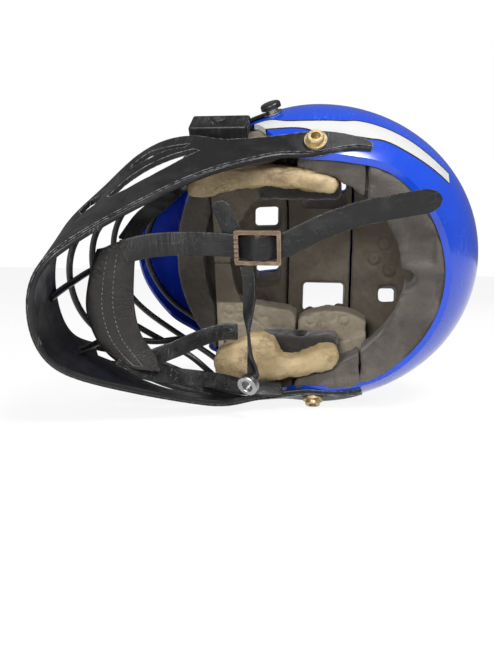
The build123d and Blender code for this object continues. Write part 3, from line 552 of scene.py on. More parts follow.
def foam_finish(name, dark, light, grain_scale, grain_depth, cloud_scale, pads=None):
    """Skinned foam: uneven colour, fine grain and a soft sheen; pads are the raised pads' two colours, partly
    their own paler foam and partly painted light.
    """
    stain = tuple(channel * 0.6 for channel in dark)
    finish = Finish(name, dark, 0.7)
    finish.patched(cloud_scale, light, 0.8, 0.36, 0.68)
    if pads:
        # The raised pads' lighter colours: partly their own paler foam, partly painted light.
        on_pads = on_raised_pads(finish)
        finish.tint(on_pads, pads[0])
        patches = finish.mask(CLOUDS, Scale=cloud_scale, Low=0.36, High=0.68)
        finish.tint(maths(finish.tree, "MULTIPLY", on_pads, patches), pads[1], 0.8)
    finish.patched(cloud_scale * 6, stain, 0.6, 0.5, 0.75)
    lines = finish.mask(CREASES, Scale=160.0, Width=0.04)
    finish.tint(lines, stain, 0.25)
    finish.uneven(90.0, -0.16)
    finish.raised(lines, -0.00008).grained(grain_scale, grain_depth)
    finish.set(Sheen_Weight=0.15, Sheen_Roughness=0.6)
    return finish.done()


def on_raised_pads(finish):
    """1 below the raised pads' top and outside their inner edge on the right, 0 on the liner behind them."""
    _, across, up = upright_place(finish)
    inside = ramped(finish.tree, across, RAISED_PAD_EDGE - MM, RAISED_PAD_EDGE + MM)
    above = ramped(finish.tree, up, RAISED_PAD_TOP - MM, RAISED_PAD_TOP + MM)
    return maths(finish.tree, "SUBTRACT", 1.0, maths(finish.tree, "MAXIMUM", inside, above))


def fuzzy_finish(name, dark, light, scale):
    """Brushed cloth with matted fibres."""
    finish = Finish(name, dark, 0.95)
    fibres = finish.mask(FUZZ, Scale=scale)
    finish.patched(40.0, light, 0.7, 0.4, 0.7)
    finish.tint(fibres, tuple(min(channel * 1.9, 1.0) for channel in light), 0.55)
    finish.raised(finish.mask(FUZZ, "Height", Scale=scale), 0.0007)
    finish.set(Sheen_Weight=0.4, Sheen_Roughness=0.5)
    return finish.done()


def tan_pad_finish():
    finish = Finish("worn_tan_vinyl_with_painted_shade", (0.28, 0.205, 0.1), 0.5)
    finish.patched(38.0, (0.41, 0.315, 0.175), 0.9, 0.36, 0.66)
    # Darker brown clouds: painted shade.
    finish.patched(85.0, (0.15, 0.1, 0.055), 0.7, 0.5, 0.72)
    lines = finish.mask(CREASES, Scale=260.0, Width=0.06)
    finish.tint(lines, (0.14, 0.1, 0.055), 0.4)
    finish.uneven(70.0, 0.2).rough(lines, 0.2)
    finish.raised(lines, -0.00022).grained(950.0, 0.00016)
    finish.set(Coat_Weight=0.08, Coat_Roughness=0.4)
    return finish.done()


def cup_leather_finish():
    finish = Finish("dark_stitched_leather", (0.009, 0.0075, 0.007), 0.42)
    finish.patched(50.0, (0.026, 0.02, 0.017), 0.8, 0.42, 0.7)
    worn = finish.mask(EDGE_WEAR, Radius=0.0012, Amount=0.9)
    finish.tint(worn, (0.26, 0.2, 0.14), 0.7)
    lines = finish.mask(CREASES, Scale=190.0, Width=0.08)
    finish.tint(lines, (0.008, 0.007, 0.006), 0.8).rough(lines, 0.2)
    finish.uneven(110.0, 0.2)
    finish.raised(lines, -0.0003).grained(1100.0, 0.00016)
    return finish.done()


def thread_finish():
    finish = Finish("waxed_stitch_thread", (0.07, 0.06, 0.05), 0.6)
    finish.patched(300.0, (0.16, 0.14, 0.11), 0.7)
    finish.uneven(500.0, 0.2)
    finish.raised(finish.mask(FUZZ, "Height", Scale=2400.0), 0.00012)
    return finish.done()


def strap_finish():
    finish = Finish("black_strap_vinyl", (0.006, 0.006, 0.0065), 0.27)
    finish.patched(60.0, (0.02, 0.02, 0.021), 0.7, 0.48, 0.72)
    worn = finish.mask(EDGE_WEAR, Radius=0.0007, Amount=0.8)
    finish.tint(worn, (0.2, 0.2, 0.2), 0.7)
    marks = finish.mask(SCRATCHES, Scale=260.0, Amount=0.8)
    finish.tint(marks, (0.16, 0.16, 0.16), 0.6).rough(marks, 0.2)
    lines = finish.mask(CREASES, Scale=260.0, Width=0.05)
    finish.uneven(120.0, 0.18)
    finish.raised(lines, -0.00012).grained(1500.0, 0.00009)
    finish.set(Specular_IOR_Level=0.38)
    return finish.done()


def steel_finish():
    finish = Finish("satin_nickel", (0.42, 0.42, 0.42), 0.28, 1.0)
    finish.patched(220.0, (0.16, 0.155, 0.15), 0.7, 0.5, 0.72)
    marks = finish.mask(SCRATCHES, Scale=600.0, Amount=1.0)
    finish.rough(marks, 0.25).uneven(380.0, 0.2)
    finish.raised(marks, -0.00003)
    return finish.done()


FINISH = {
    "shell_blue": shell_finish(),
    "visor_blue": visor_finish(),
    "black_plastic": black_plastic_finish(),
    "black_wire": wire_finish(),
    "black_screw": metal_finish(
        "black_oxide_screw", ((0.03, 0.03, 0.032), 0.36, 0.6), (200.0, (0.09, 0.085, 0.08), 0.6),
        (0.0005, (0.4, 0.39, 0.37), 0.9), (320.0, 0.2), (2600.0, 0.00004),
    ),
    "brass": metal_finish(
        "tarnished_brass", ((0.5, 0.39, 0.22), 0.34, 0.85), (160.0, (0.28, 0.2, 0.11), 0.8, 0.42, 0.66),
        (0.0005, (0.85, 0.72, 0.45), 0.8), (300.0, 0.3), (1800.0, 0.00005),
    ),
    "charcoal_foam": foam_finish(
        "charcoal_skinned_foam", (0.04, 0.032, 0.025), (0.09, 0.074, 0.06), 700.0, 0.00025, 24.0,
    ),
    "dark_foam": fuzzy_finish("dark_fuzzy_cloth", (0.016, 0.014, 0.012), (0.04, 0.034, 0.028), 620.0),
    "tan_pad": tan_pad_finish(),
    "brow_foam": fuzzy_finish("brushed_brow_cloth", (0.04, 0.033, 0.027), (0.085, 0.071, 0.057), 900.0),
    # The liner's browns are partly the foam's own colour and partly painted shade.
    "brown_liner": foam_finish("brown_moulded_foam", *LINER_BROWNS, 800.0, 0.0002, 30.0),
    # The raised pads' lighter colours are partly the pads' own paler foam and partly painted light.
    "raised_pad": foam_finish(
        "pad_foam_with_painted_light", *LINER_BROWNS, 900.0, 0.00012, 22.0, pads=((0.31, 0.26, 0.19), (0.44, 0.38, 0.28)),
    ),
    "cup_leather": cup_leather_finish(),
    "cup_lining": fuzzy_finish("worn_cup_cloth", (0.05, 0.04, 0.032), (0.12, 0.098, 0.076), 1000.0),
    "black_strap": strap_finish(),
    "bronze_metal": metal_finish(
        "worn_bronze_paint", ((0.16, 0.105, 0.07), 0.38, 0.55), (150.0, (0.28, 0.2, 0.14), 0.8, 0.44, 0.68),
        (0.0006, (0.55, 0.45, 0.34), 0.8), (260.0, 0.22), (1900.0, 0.00006),
    ),
    "steel": steel_finish(),
    "black_metal": metal_finish(
        "black_snap_enamel", ((0.014, 0.014, 0.015), 0.26, 0.3), (180.0, (0.07, 0.07, 0.07), 0.8, 0.52, 0.7),
        (0.0007, (0.35, 0.34, 0.33), 0.8), (260.0, 0.22), (2200.0, 0.00004),
    ),
    "stitch_thread": thread_finish(),
}


# The two moulded pads that stand out from the right side liner: outlines as (forward, left) in millimetres
RAISED_PADS = {
    "side_liner_front_right": [
        (82, -39.5), (79, -35.8), (71, -33.3), (60, -35.2), (44, -38.3), (24, -40.7), (18.5, -45.1),
        (19, -68), (42, -68), (60, -62), (77, -50), (80, -45),
    ],
    "side_liner_back_right": [
        (17, -49.9), (14, -46.4), (5, -42.9), (-5, -40.1), (-20, -40.8), (-30, -44.3), (-37.5, -48.5),
        (-37.5, -70), (-5, -70), (17, -70),
    ],
}


# ---------------------------------------------------------------- rigid pieces
def broken_edges(piece, width, segments, degrees):
    """Edges sharper than the angle, rounded off by a small bevel."""
    bevel = piece.modifiers.new("broken_edges", "BEVEL")
    bevel.width = width
    bevel.segments = segments
    bevel.limit_method = "ANGLE"
    bevel.angle_limit = math.radians(degrees)


def dressed(node, degrees, edge=0.0):
    """A rigid piece: its solid, shaded smooth, with slightly broken edges."""
    piece = shaded(merged_copy(node, node + "_skin"), degrees)
    if edge:
        broken_edges(piece, edge, 2, max(degrees, 35))
    return in_place_of(piece, node)


# Each rigid piece with its smoothing angle in degrees and the width of its broken edges in metres
WIRES = ("top", "high", "middle", "low", "centre", "side_left", "side_right")
CLIPS = ("clip_left", "clip_right", "clip_screw_left", "clip_screw_right")
RIGID = {
    "visor": (40, 0.0006), "chin_guard": (38, 0.0),
    **{"cage_wire_" + wire: (60, 0.0) for wire in WIRES}, **{"mask_" + clip: (35, 0.0) for clip in CLIPS},
    "ear_bolt_left": (32, 0.0003), "ear_bolt_right": (32, 0.0003),
    "visor_screw_left": (35, 0.0), "visor_screw_right": (35, 0.0),
    "temple_stud": (35, 0.0003), "temple_snap": (35, 0.0), "hanging_snap_ring": (35, 0.0),
    "hanging_snap_disc": (35, 0.0004), "buckle": (35, 0.0004),
}
for rigid_node, (rigid_angle, rigid_edge) in RIGID.items():
    dressed(rigid_node, rigid_angle, rigid_edge)


# ---------------------------------------------------------------- the shell
RIM_STEPS = 72
PRISM_TOP = 200.0
PRISM_HALF_WIDTH = 150.0


def mesh_of(name, work):
    """The working mesh as an object with its faces outward, still in the upright helmet's millimetres."""
    bmesh.ops.recalc_face_normals(work, faces=work.faces[:])
    return piece_from(work, name)


def egg(name, inset, around, rings):
    """The shell's form drawn in by an inset."""
    work = bmesh.new()
    bmesh.ops.create_uvsphere(work, u_segments=around, v_segments=rings, radius=1.0)
    for vertex in work.verts:
        x, y, z = vertex.co
        vertex.co = (
            SHELL_MIDDLE[0] + x * ((SHELL_FRONT if x > 0 else SHELL_BACK) - inset),
            y * (SHELL_HALF_WIDTH - inset),
            SHELL_MIDDLE[2] + z * ((SHELL_UP if z > 0 else SHELL_DOWN) - inset),
        )
    return mesh_of(name, work)


def prism(work, outline, height):
    """A closed prism over an outline, raised by the height."""
    face = work.faces.new([work.verts.new(place) for place in outline])
    moved = bmesh.ops.extrude_face_region(work, geom=[face])["geom"]
    bmesh.ops.translate(work, vec=height, verts=[v for v in moved if isinstance(v, bmesh.types.BMVert)])


def above_rim():
    """Everything above the rim line, as a prism across the helmet."""
    outline = [Vector((x, 0, z)) for x, z in RIM]
    smooth = [through(outline, index / RIM_STEPS)[0] for index in range(RIM_STEPS + 1)]
    smooth += [Vector((smooth[-1].x, 0, PRISM_TOP)), Vector((smooth[0].x, 0, PRISM_TOP))]
    work = bmesh.new()
    prism(work, [(p.x, -PRISM_HALF_WIDTH, p.z) for p in smooth], (0, 2 * PRISM_HALF_WIDTH, 0))
    return mesh_of("above_rim", work)


def vent_and_bolt_cutters():
    """The six vents and two bolt holes, as separate closed bars."""
    work = bmesh.new()
    for (x, y, z, length, width), (lean_ahead, lean_out) in zip(VENTS, VENT_LEANS):
        for side in (1, -1):
            centre = Vector((x, side * y, z))
            outward = Vector((lean_ahead, side * lean_out, 1)).normalized()
            ahead = (Vector((1, 0, 0)) - outward * outward.x).normalized()
            bar = bmesh.ops.create_cube(work, size=1.0)["verts"]
            bmesh.ops.scale(work, vec=(length, width, VENT_CUT_DEPTH), verts=bar)
            corners = [
                edge for edge in {e for v in bar for e in v.link_edges}
                if abs(edge.verts[0].co.z - edge.verts[1].co.z) > 1
            ]
            rounded = bmesh.ops.bevel(
                work, geom=corners, offset=VENT_CORNER, segments=5, profile=0.5, affect="EDGES", material=-1
            )
            kept = {v for v in bar if v.is_valid}
            bar = list({v for face in rounded["faces"] for v in face.verts} | kept)
            turn = Matrix((ahead, outward.cross(ahead), outward)).transposed().to_4x4()
            turn.translation = centre
            bmesh.ops.transform(work, matrix=turn, verts=bar)
    x, z = BOLT_PLACE
    length = SHELL_BACK if x < SHELL_MIDDLE[0] else SHELL_FRONT
    ahead, rise = (x - SHELL_MIDDLE[0]) / length, (z - SHELL_MIDDLE[2]) / SHELL_DOWN
    y = SHELL_HALF_WIDTH * math.sqrt(1 - ahead**2 - rise**2)
    for side in (1, -1):
        outward = Vector((ahead / length, side * y / SHELL_HALF_WIDTH**2, rise / SHELL_DOWN))
        turn = Matrix.Translation((x, side * y, z)) @ outward.to_track_quat("Z", "Y").to_matrix().to_4x4()
        bmesh.ops.create_cone(
            work, cap_ends=True, segments=40, radius1=BOLT_HOLE_RADIUS, radius2=BOLT_HOLE_RADIUS,
            depth=BOLT_CUT_DEPTH, matrix=turn,
        )
    return mesh_of("vents_and_bolts", work)


def cut(piece, other, operation):
    """The piece cut by, or kept within, the other."""
    blade = piece.modifiers.new(other.name, "BOOLEAN")
    blade.operation = operation
    blade.object = other
    blade.solver = "EXACT"


def shell_piece():
    """The shell: an egg, hollowed, kept above its rim line, with vents and bolt holes cut through."""
    piece = egg("outer_shell_gloss", 0.0, 176, 88)
    tools = [egg("hollow", SHELL_WALL, 128, 64), above_rim(), vent_and_bolt_cutters()]
    for tool, operation in zip(tools, ("DIFFERENCE", "INTERSECT", "DIFFERENCE")):
        cut(piece, tool, operation)
    baked(piece)
    for tool in tools:
        bpy.data.objects.remove(tool)
    piece.data.transform(HELMET)
    shaded(piece, 32)
    broken_edges(piece, 0.0008, 3, 50)
    return in_place_of(piece, "outer_shell")


shell_piece()


# ---------------------------------------------------------------- foam and pads
# A button's groove, ring and dimple as (radius, width, height), and the buttons' places, in millimetres
BUTTON_PROFILE = ((6.6, 0.9, -1.0), (3.9, 0.7, 0.4), (0.0, 1.7, -0.7))
BUTTON_REACH = 9.0
BUTTON_LIFT = (-3.0, 4.0)
BUTTONS = {
    "crown_liner_front": [
        (70.1, 39), (58, 51), (60.7, 29.5), (68.4, -43.4), (51.9, -44.4),
    ],
    "crown_liner_middle": [
        (9.8, -56.8), (-3.4, -60.3), (-14.7, -53.4), (13.6, 58), (-5.7, 60.3),
    ],
    "crown_liner_rear": [
        (-43.1, -8.9), (-50.5, 4.6), (-55.5, -17.5),
    ],
}


def button_rings(node, seed):
    """Turned rings and a dimple on each moulded button, over gentle waves."""
    spots = []
    for x, y in BUTTONS[node]:
        length = (SHELL_FRONT if x > SHELL_MIDDLE[0] else SHELL_BACK) - LINER_INSIDE
        half_width = SHELL_HALF_WIDTH - LINER_INSIDE
        height = SHELL_UP - LINER_INSIDE
        rise = math.sqrt(1 - ((x - SHELL_MIDDLE[0]) / length) ** 2 - (y / half_width) ** 2)
        inward = Vector(((SHELL_MIDDLE[0] - x) / length**2, -y / half_width**2, -rise / height)).normalized()
        spots.append((Vector((x, y, SHELL_MIDDLE[2] + height * rise)), inward))
    waves = wrinkles(0.018, 0.0005, seed)

    def move(place, normal):
        upright = UPRIGHT @ place
        for seat, inward in spots:
            apart = upright - seat
            lift = apart.dot(inward)
            if BUTTON_LIFT[0] < lift < BUTTON_LIFT[1]:
                spread = (apart - inward * lift).length
                if spread < BUTTON_REACH:
                    return sum(ridge(spread, *part) for part in BUTTON_PROFILE) * MM
        return waves(place, normal)

    return move


def puffed(piece, pressure, cap, frames=20):
    """Air pressure swells the piece's skin; no point moves further than the cap, in metres."""
    scene = bpy.context.scene
    start = [vertex.co.copy() for vertex in piece.data.vertices]
    cloth = piece.modifiers.new("skin", "CLOTH")
    cloth.settings.quality = 5
    cloth.settings.mass = 0.25
    cloth.settings.use_pressure = True
    cloth.settings.uniform_pressure_force = pressure
    cloth.settings.effector_weights.gravity = 0.0
    cloth.settings.tension_stiffness = 12.0
    cloth.settings.bending_stiffness = 0.4
    cloth.point_cache.frame_start = 1
    cloth.point_cache.frame_end = frames
    for number in range(1, frames + 1):
        scene.frame_set(number)
    graph = bpy.context.evaluated_depsgraph_get()
    swollen = piece.evaluated_get(graph).data
    places = [vertex.co.copy() for vertex in swollen.vertices]
    piece.modifiers.clear()
    for vertex, before, after in zip(piece.data.vertices, start, places):
        step = after - before
        if step.length > cap:
            step = step.normalized() * cap
        vertex.co = before + step
    piece.data.update()
    scene.frame_set(1)
    return piece


PAD_BUTTONS = [
    (71, -38.5), (63, -45.2), (46, -43.7), (7, -48.5), (-4, -53.6), (-21, -48.4), (-9, -45),
]
PAD_Z = (40.0, 56.0)
PAD_FACE_DEPTH = 5.0
PAD_RING = (4.2, 0.9, -1.3)
PAD_RING_REACH = 6.0


def ridge(distance, radius, width, height):
    """A round ridge, or a groove where the height is negative, at a radius from a button's middle."""
    return height * math.exp(-((distance - radius) / width) ** 2)


def with_raised_pad(piece, node):
    """The moulded pad that stands out from this piece of the side liner."""
    work = bmesh.new()
    work.from_mesh(piece.data)
    height = at(0, 0, PAD_Z[1]) - at(0, 0, PAD_Z[0])
    prism(work, [at(x, y, PAD_Z[0]) for x, y in RAISED_PADS[node]], height)
    work.to_mesh(piece.data)
    work.free()


def pad_rings(place, normal):
    """Turned rings pressed into the raised pads' lower faces."""
    x, y, z = UPRIGHT @ place
    if z < PAD_Z[0] + PAD_FACE_DEPTH:
        for button_x, button_y in PAD_BUTTONS:
            spread = math.hypot(x - button_x, y - button_y)
            if spread < PAD_RING_REACH:
                return ridge(spread, *PAD_RING) * MM
    return 0.0


# The pad's roll: its height, how far the wall it follows lies inside the shell, and where it starts and fades
ROLL_OUT = 6.5
ROLL_INSETS = (9.0, 21.0)
NEAR_WALL = (0.84, 0.14)
LOW_DOWN = (-3.0, 7.0)
ON_RIGHT = (-30.0, 40.0)


def grown(value, start, span):
    """0 up to the start, 1 past the span, straight between."""
    return min(max((value - start) / span, 0.0), 1.0)


def over_rim(waves):
    """The pad's low outer edge rolled out over the shell's rim on the right side."""

    def move(place, normal):
        x, y, z = UPRIGHT @ place
        ahead = (x - SHELL_MIDDLE[0]) / (SHELL_BACK - ROLL_INSETS[0])
        aside = y / (SHELL_HALF_WIDTH - ROLL_INSETS[1])
        near_wall = grown(math.hypot(ahead, aside), *NEAR_WALL)
        low = grown(-z, *LOW_DOWN)
        on_right = grown(-y, *ON_RIGHT)
        return waves(place, normal) + ROLL_OUT * MM * near_wall * low * on_right

    return move


def foam_piece(node, voxel, rounds, move=None, swell=0.0):
    """A soft piece: its solid given an even skin, eased, swollen by air where asked, and waved."""
    rough_form = merged_copy(node, node + "_foam")
    if node in RAISED_PADS:
        with_raised_pad(rough_form, node)
    piece = softened(rough_form, voxel, rounds)
    if swell:
        puffed(piece, 4.0, swell)
    if move:
        moved_by(piece, move)
    in_place_of(piece, node)
    return piece


for number, soft_node in enumerate(("crown_liner_front", "crown_liner_middle", "crown_liner_rear")):
    foam_piece(soft_node, 0.0014, 3, button_rings(soft_node, number))
foam_piece("rear_pad", 0.002, 7, over_rim(wrinkles(0.03, 0.0012, 4)))
foam_piece("rear_liner", 0.002, 4, wrinkles(0.02, 0.0006, 5))
foam_piece("brow_band", 0.0014, 2, wrinkles(0.012, 0.0005, 6))
for number, side in enumerate(("left", "right")):
    foam_piece("rear_wing_" + side, 0.0018, 4, over_rim(wrinkles(0.022, 0.0009, 7 + number)))
    foam_piece("ear_foam_" + side, 0.0018, 4, wrinkles(0.012, 0.0012, 9 + number))
    foam_piece("jaw_liner_" + side, 0.0018, 3, wrinkles(0.016, 0.0007, 11 + number))
    for part in ("side_liner_front_", "side_liner_back_"):
        if part + side in RAISED_PADS:
            foam_piece(part + side, 0.0013, 9, pad_rings)
        else:
            foam_piece(part + side, 0.002, 3, wrinkles(0.02, 0.0006, 13 + number))
    foam_piece("cheek_pad_" + side, 0.0022, 4, wrinkles(0.011, 0.0014, 17 + number), 0.0022)


# ---------------------------------------------------------------- straps
# Each strap's width and thickness, and its stations: the middle and the direction across, in millimetres
STRAP_ROUTES = {
    "main_strap": (15.5, 2.0, [
        ((122, 33, -62), (0.1, 1, 0.1)), ((106, 36, -58), (0, 1, 0.1)), ((88, 36.5, -53), (0, 1, 0)),
        ((68, 35.5, -49), (0, 1, 0)), ((54, 34.5, -47.5), (0, 1, 0)), ((46, 34, -48.4), (0, 1, 0)),
        ((35, 34, -54.2), (0, 1, 0)), ((24, 34, -48.4), (0, 1, 0)), ((18, 35, -47), (0.1, 1, 0)),
    ]),
    "strap_tail": (15.5, 2.0, [
        ((21, 34.4, -47.3), (0.1, 1, 0)), ((17, 35.4, -47), (0.15, 1, 0)), ((4, 42, -46), (0.3, 1, 0)),
        ((-12, 49, -44), (0.3, 1, 0)), ((-32, 55, -41), (0.2, 1, 0)), ((-54, 59, -38.5), (0.1, 1, 0)),
        ((-79, 63, -36), (0.05, 1, 0)),
    ]),
    "hanging_strap": (9.0, 1.8, [
        ((42.5, 21.9, -51), (1, 0, 0)), ((41, 13, -51.5), (1, 0, 0.2)), ((41, 0, -52), (0.9, 0, 0.4)),
        ((42, -12, -52), (0.7, 0, 0.7)), ((42, -26, -52), (0.2, 0, 1)),
        ((41, -40, -52), (0.4, 0, 0.9)), ((40, -50, -52), (0.8, 0, 0.6)),
        ((39.5, -59, -52), (1, 0, 0.2)),
    ]),
    "strap_loop_end": (12.0, 1.8, [
        ((47, 36, -45), (1, -0.3, 0)), ((53, 44, -45), (0.9, -0.4, 0)),
        ((57, 53, -44), (0.9, -0.4, 0)), ((62, 62, -43), (0.9, -0.4, 0)),
    ]),
    "front_left_strap": (12.0, 1.8, [
        ((120, 40, -56), (0.9, 0.2, 0.3)), ((116, 49, -32), (0.9, 0.3, 0.2)),
        ((109.5, 55, -9.5), (0.8, 0.4, 0.2)), ((102, 63.5, 9.5), (0.7, 0.5, 0.3)),
        ((97, 78.5, 25.5), (0.6, 0.4, 0.6)), ((84, 92.2, 38.5), (0.4, 0.2, 1)),
        ((66, 100.5, 42), (0.1, 0, 1)), ((50, 107.3, 41), (0, 0, 1)), ((36, 111.9, 38), (0, 0, 1)),
    ]),
    "front_right_strap": (12.0, 1.8, [
        ((122, -46, -60.5), (0.7, 0.7, 0.2)), ((113, -47, -50), (0.5, 0.9, 0.2)),
        ((99, -45, -38), (0.4, 0.9, 0.2)), ((88, -42, -30), (0.4, 0.9, 0.2)),
        ((78, -40, -22), (0.4, 0.9, 0.3)), ((68, -39, -16), (0.3, 0.9, 0.3)),
        ((57, -40, -12), (0.3, 0.9, 0.3)),
    ]),
    "rear_right_strap": (12.0, 1.8, [
        ((130, -40, -66), (0.2, 0.8, 0.4)), ((112, -52, -62), (0.2, 0.8, 0.5)),
        ((94, -60.5, -49.5), (0.2, 0.8, 0.5)), ((70, -69, -36.5), (0.1, 0.7, 0.6)),
        ((44, -79.5, -24.5), (0, 0.5, 0.8)), ((24, -83.5, -16.5), (0, 0.4, 0.9)),
    ]),
}
ROUNDED_ENDS = {"strap_tail", "strap_loop_end", "hanging_strap", "front_left_strap"}
STRAP_STEP = 1.2
RIPPLE_LENGTH = 26.0
RIPPLE_HEIGHT = 0.35


def strap(node, curl=0.5):
    """A flat strap along its stations, its free end rounded and its edges curled a little."""
    width, thickness, stations = STRAP_ROUTES[node]
    centres = [Vector(centre) for centre, across in stations]
    across_at = [Vector(across).normalized() for centre, across in stations]
    length = sum((b - a).length for a, b in zip(centres[:-1], centres[1:]))
    work = bmesh.new()
    rings = max(int(length / STRAP_STEP), 20)
    bmesh.ops.create_grid(work, x_segments=rings, y_segments=10, size=1.0)
    uv_layer = work.loops.layers.uv.new("along")
    shares = {vertex: ((vertex.co.x + 1) / 2, vertex.co.y) for vertex in work.verts}
    for face in work.faces:
        for loop in face.loops:
            u, v = shares[loop.vert]
            loop[uv_layer].uv = (u * length * MM, v * width / 2 * MM)
    for vertex, (u, v) in shares.items():
        centre, travel = through(centres, u)
        side = through(across_at, u)[0]
        side = (side - travel * side.dot(travel)).normalized()
        normal = travel.cross(side)
        half = width / 2
        left = (1 - u) * length
        if node in ROUNDED_ENDS and left < half:
            half = half * math.sqrt(max(1 - ((half - left) / half) ** 2, 0.0001))
        ripple = noise.noise(Vector((u * length / RIPPLE_LENGTH, v * 0.6, len(node)))) * RIPPLE_HEIGHT
        lift = ripple - curl * v * v * half / (width / 2)
        vertex.co = at(*(centre + side * (v * half) + normal * lift))
    bmesh.ops.remove_doubles(work, verts=work.verts, dist=0.00002)
    piece = piece_from(work, node + "_vinyl")
    piece.data.shade_smooth()
    wall = piece.modifiers.new("wall", "SOLIDIFY")
    wall.thickness = thickness * MM
    wall.offset = 0.0
    broken_edges(piece, 0.00045, 2, 50)
    return in_place_of(piece, node)


for strap_node in STRAP_ROUTES:
    strap(strap_node)


# ---------------------------------------------------------------- chin cup
# The cup's front and rear edge, from the wearer's left to the right
CUP_EDGES = [
    ((137, 34, -60), (114, 41, -56)), ((145, 14, -62), (118, 18, -55)),
    ((149, -6, -63), (120, -4, -55)), ((145, -25, -63), (117, -25, -56)),
    ((136, -39, -62), (108, -41, -57)), ((124, -46, -62), (104, -52, -60)),
]
CUP_SAG = 3.5
CUP_WALL = 4.0
CUP_LINING_WALL = 3.0
CUP_GAP = 0.05
CUP_CLOTH_SIZE = (40.0, 13.0)
STITCH_ROWS = (-0.08, 0.34)
STITCHES_PER_ROW = 27
STITCH_HALF_SIZE = (1.25, 0.42, 0.36)


def cup_place(u, v):
    """A place on the cup's middle skin and its outward direction: u along, v across from -1 to 1."""
    front, along_front = through([Vector(front) for front, back in CUP_EDGES], u)
    back, along_back = through([Vector(back) for front, back in CUP_EDGES], u)
    sag = Vector((CUP_SAG, 0, -CUP_SAG)) * (1 - v * v)
    place = front * ((1 - v) / 2) + back * ((1 + v) / 2) + sag
    across = (back - front) / 2 + Vector((CUP_SAG, 0, -CUP_SAG)) * (-2 * v)
    outward = across.cross(along_front + along_back).normalized()
    if outward.dot(Vector((1, 0, -1))) < 0:
        outward = -outward
    return place, outward


def cup_skin(node, low, high, puff):
    """A layer of the cup between two offsets from its middle skin, puffed between its edges."""
    work = bmesh.new()
    bmesh.ops.create_grid(work, x_segments=72, y_segments=30, size=1.0)
    uv_layer = work.loops.layers.uv.new("along")
    bmesh.ops.solidify(work, geom=work.faces[:], thickness=0.1)
    tops = {vertex: vertex.co.z for vertex in work.verts}
    middle_z = (min(tops.values()) + max(tops.values())) / 2
    for face in work.faces:
        for loop in face.loops:
            x, y, _ = loop.vert.co
            loop[uv_layer].uv = (x * CUP_CLOTH_SIZE[0] * MM, y * CUP_CLOTH_SIZE[1] * MM)
    for vertex in work.verts:
        u, v = (vertex.co.x + 1) / 2, vertex.co.y
        outer = vertex.co.z > middle_z
        place, outward = cup_place(u, v)
        rim = max(abs(v), abs(2 * u - 1)) ** 8
        depth = high if outer else low
        swell = puff * (1 - rim) * noise.noise(Vector((u * 5, v * 2, 3.0)))
        depth = depth * (1 - 0.3 * rim) + (swell if outer else 0.0)
        vertex.co = at(*(place + outward * depth))
    bmesh.ops.recalc_face_normals(work, faces=work.faces[:])
    piece = piece_from(work, node + "_skin")
    piece.data.shade_smooth()
    broken_edges(piece, 0.0007, 3, 40)
    in_place_of(piece, node)
    return piece


def stitch_rows():
    """Short thread stitches let into the outside of the cup."""
    work = bmesh.new()
    for v in STITCH_ROWS:
        for index in range(STITCHES_PER_ROW):
            u = 0.05 + 0.9 * (index + 0.5) / STITCHES_PER_ROW
            place, outward = cup_place(u, v)
            ahead = cup_place(min(u + 0.01, 1.0), v)[0]
            travel = (ahead - place).normalized()
            side = outward.cross(travel).normalized()
            frame_of = Matrix((travel, side, outward)).transposed().to_4x4()
            frame_of.translation = place + outward * (CUP_WALL - CUP_GAP)
            made = bmesh.ops.create_uvsphere(work, u_segments=8, v_segments=5, radius=1.0)
            bmesh.ops.scale(work, vec=STITCH_HALF_SIZE, verts=made["verts"])
            bmesh.ops.transform(work, matrix=HELMET @ frame_of, verts=made["verts"])
    piece = piece_from(work, "chin_cup_stitches")
    piece.data.shade_smooth()
    piece.data.materials.append(FINISH["stitch_thread"])
    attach(piece, BODY_OF["chin_cup"])
    return piece


cup_skin("chin_cup", 0.0, CUP_WALL, 0.5)
cup_skin("chin_cup_lining", -CUP_LINING_WALL, -CUP_GAP, 0.0)
stitch_rows()


# ---------------------------------------------------------------- camera, floor and light
CAMERA_PLACE = (-25.2, 139.5, -458.9)
FLOOR_HALF_WIDTH = 6.0
FLOOR_GLOW = 0.88
WORLD_LIGHT = 0.38
WORLD_MIRRORED = 0.2
OBJECT_MIDDLE = (0.0, 0.0, 0.11)


def photo_camera():
    """The camera at the photograph's viewing angle, placed on the upright helmet."""
    data = bpy.data.cameras.new("camera")
    data.sensor_fit = "VERTICAL"
    data.sensor_height = 36.0
    data.lens = 35.98
    data.clip_end = 20.0
    right = facing(-0.9874, -0.0261, 0.1559)
    up = facing(0.0329, 0.9308, 0.3642)
    back = facing(-0.1546, 0.3647, -0.9182)
    camera = linked("camera", data)
    turn = Matrix((right, up, back)).transposed().to_4x4()
    camera.matrix_world = Matrix.Translation(at(*CAMERA_PLACE)) @ turn
    bpy.context.scene.camera = camera


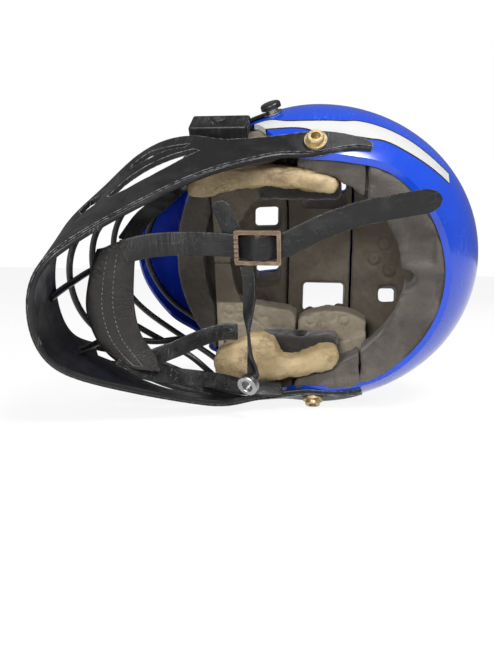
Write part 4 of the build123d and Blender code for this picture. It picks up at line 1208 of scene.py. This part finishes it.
def pale_floor():
    """A floor that shows nearly white and keeps the helmet's shadow."""
    work = bmesh.new()
    bmesh.ops.create_grid(work, x_segments=1, y_segments=1, size=FLOOR_HALF_WIDTH)
    floor = piece_from(work, "floor")
    finish = Finish("pale_floor", (0.86, 0.86, 0.86), 0.8)
    tree = finish.tree
    finish.done()
    glow = place_node(tree, "ShaderNodeEmission", Color=(1, 1, 1, 1), Strength=1.0)
    rays = tree.nodes.new("ShaderNodeLightPath")
    seen = maths(tree, "MAXIMUM", rays.outputs["Is Camera Ray"], rays.outputs["Is Glossy Ray"])
    blend = place_node(tree, "ShaderNodeMixShader", i0=maths(tree, "MULTIPLY", seen, FLOOR_GLOW))
    tree.links.new(finish.shader.outputs[0], blend.inputs[1])
    tree.links.new(glow.outputs[0], blend.inputs[2])
    tree.links.new(blend.outputs[0], tree.nodes["Material Output"].inputs["Surface"])
    floor.data.materials.append(finish.material)


def soft_light(name, place, size, power, mirrored=True):
    """A round lamp; one that isn't mirrored leaves no bright spot on glossy plastic."""
    data = bpy.data.lights.new(name, "AREA")
    data.shape = "DISK"
    data.size = size
    data.energy = power
    lamp = linked(name, data)
    lamp.visible_glossy = mirrored
    lamp.location = place
    lamp.rotation_euler = (Vector(OBJECT_MIDDLE) - Vector(place)).to_track_quat("-Z", "Y").to_euler()


def studio():
    """A soft, even room that the camera sees as white, and three lamps."""
    world = bpy.data.worlds.new("studio")
    bpy.context.scene.world = world
    world.use_nodes = True
    tree = world.node_tree
    backdrop = tree.nodes["Background"]
    backdrop.inputs["Color"].default_value = (1, 1, 1, 1)
    rays = tree.nodes.new("ShaderNodeLightPath")
    seen = maths(tree, "MAXIMUM", rays.outputs["Is Camera Ray"], rays.outputs["Is Transmission Ray"])
    strength = maths(tree, "ADD", maths(tree, "MULTIPLY", seen, 1 - WORLD_LIGHT), WORLD_LIGHT)
    dimmed = maths(tree, "MULTIPLY", rays.outputs["Is Glossy Ray"], WORLD_LIGHT - WORLD_MIRRORED)
    tree.links.new(maths(tree, "SUBTRACT", strength, dimmed), backdrop.inputs["Strength"])
    soft_light("key", (0.45, -0.6, 1.1), 0.4, 15.0)
    soft_light("fill", (-0.25, -1.15, 0.55), 0.5, 12.0)
    soft_light("rim", (0.6, 0.9, 0.9), 0.6, 6.0, mirrored=False)


photo_camera()
pale_floor()
studio()
bpy.context.scene.view_settings.view_transform = "Standard"
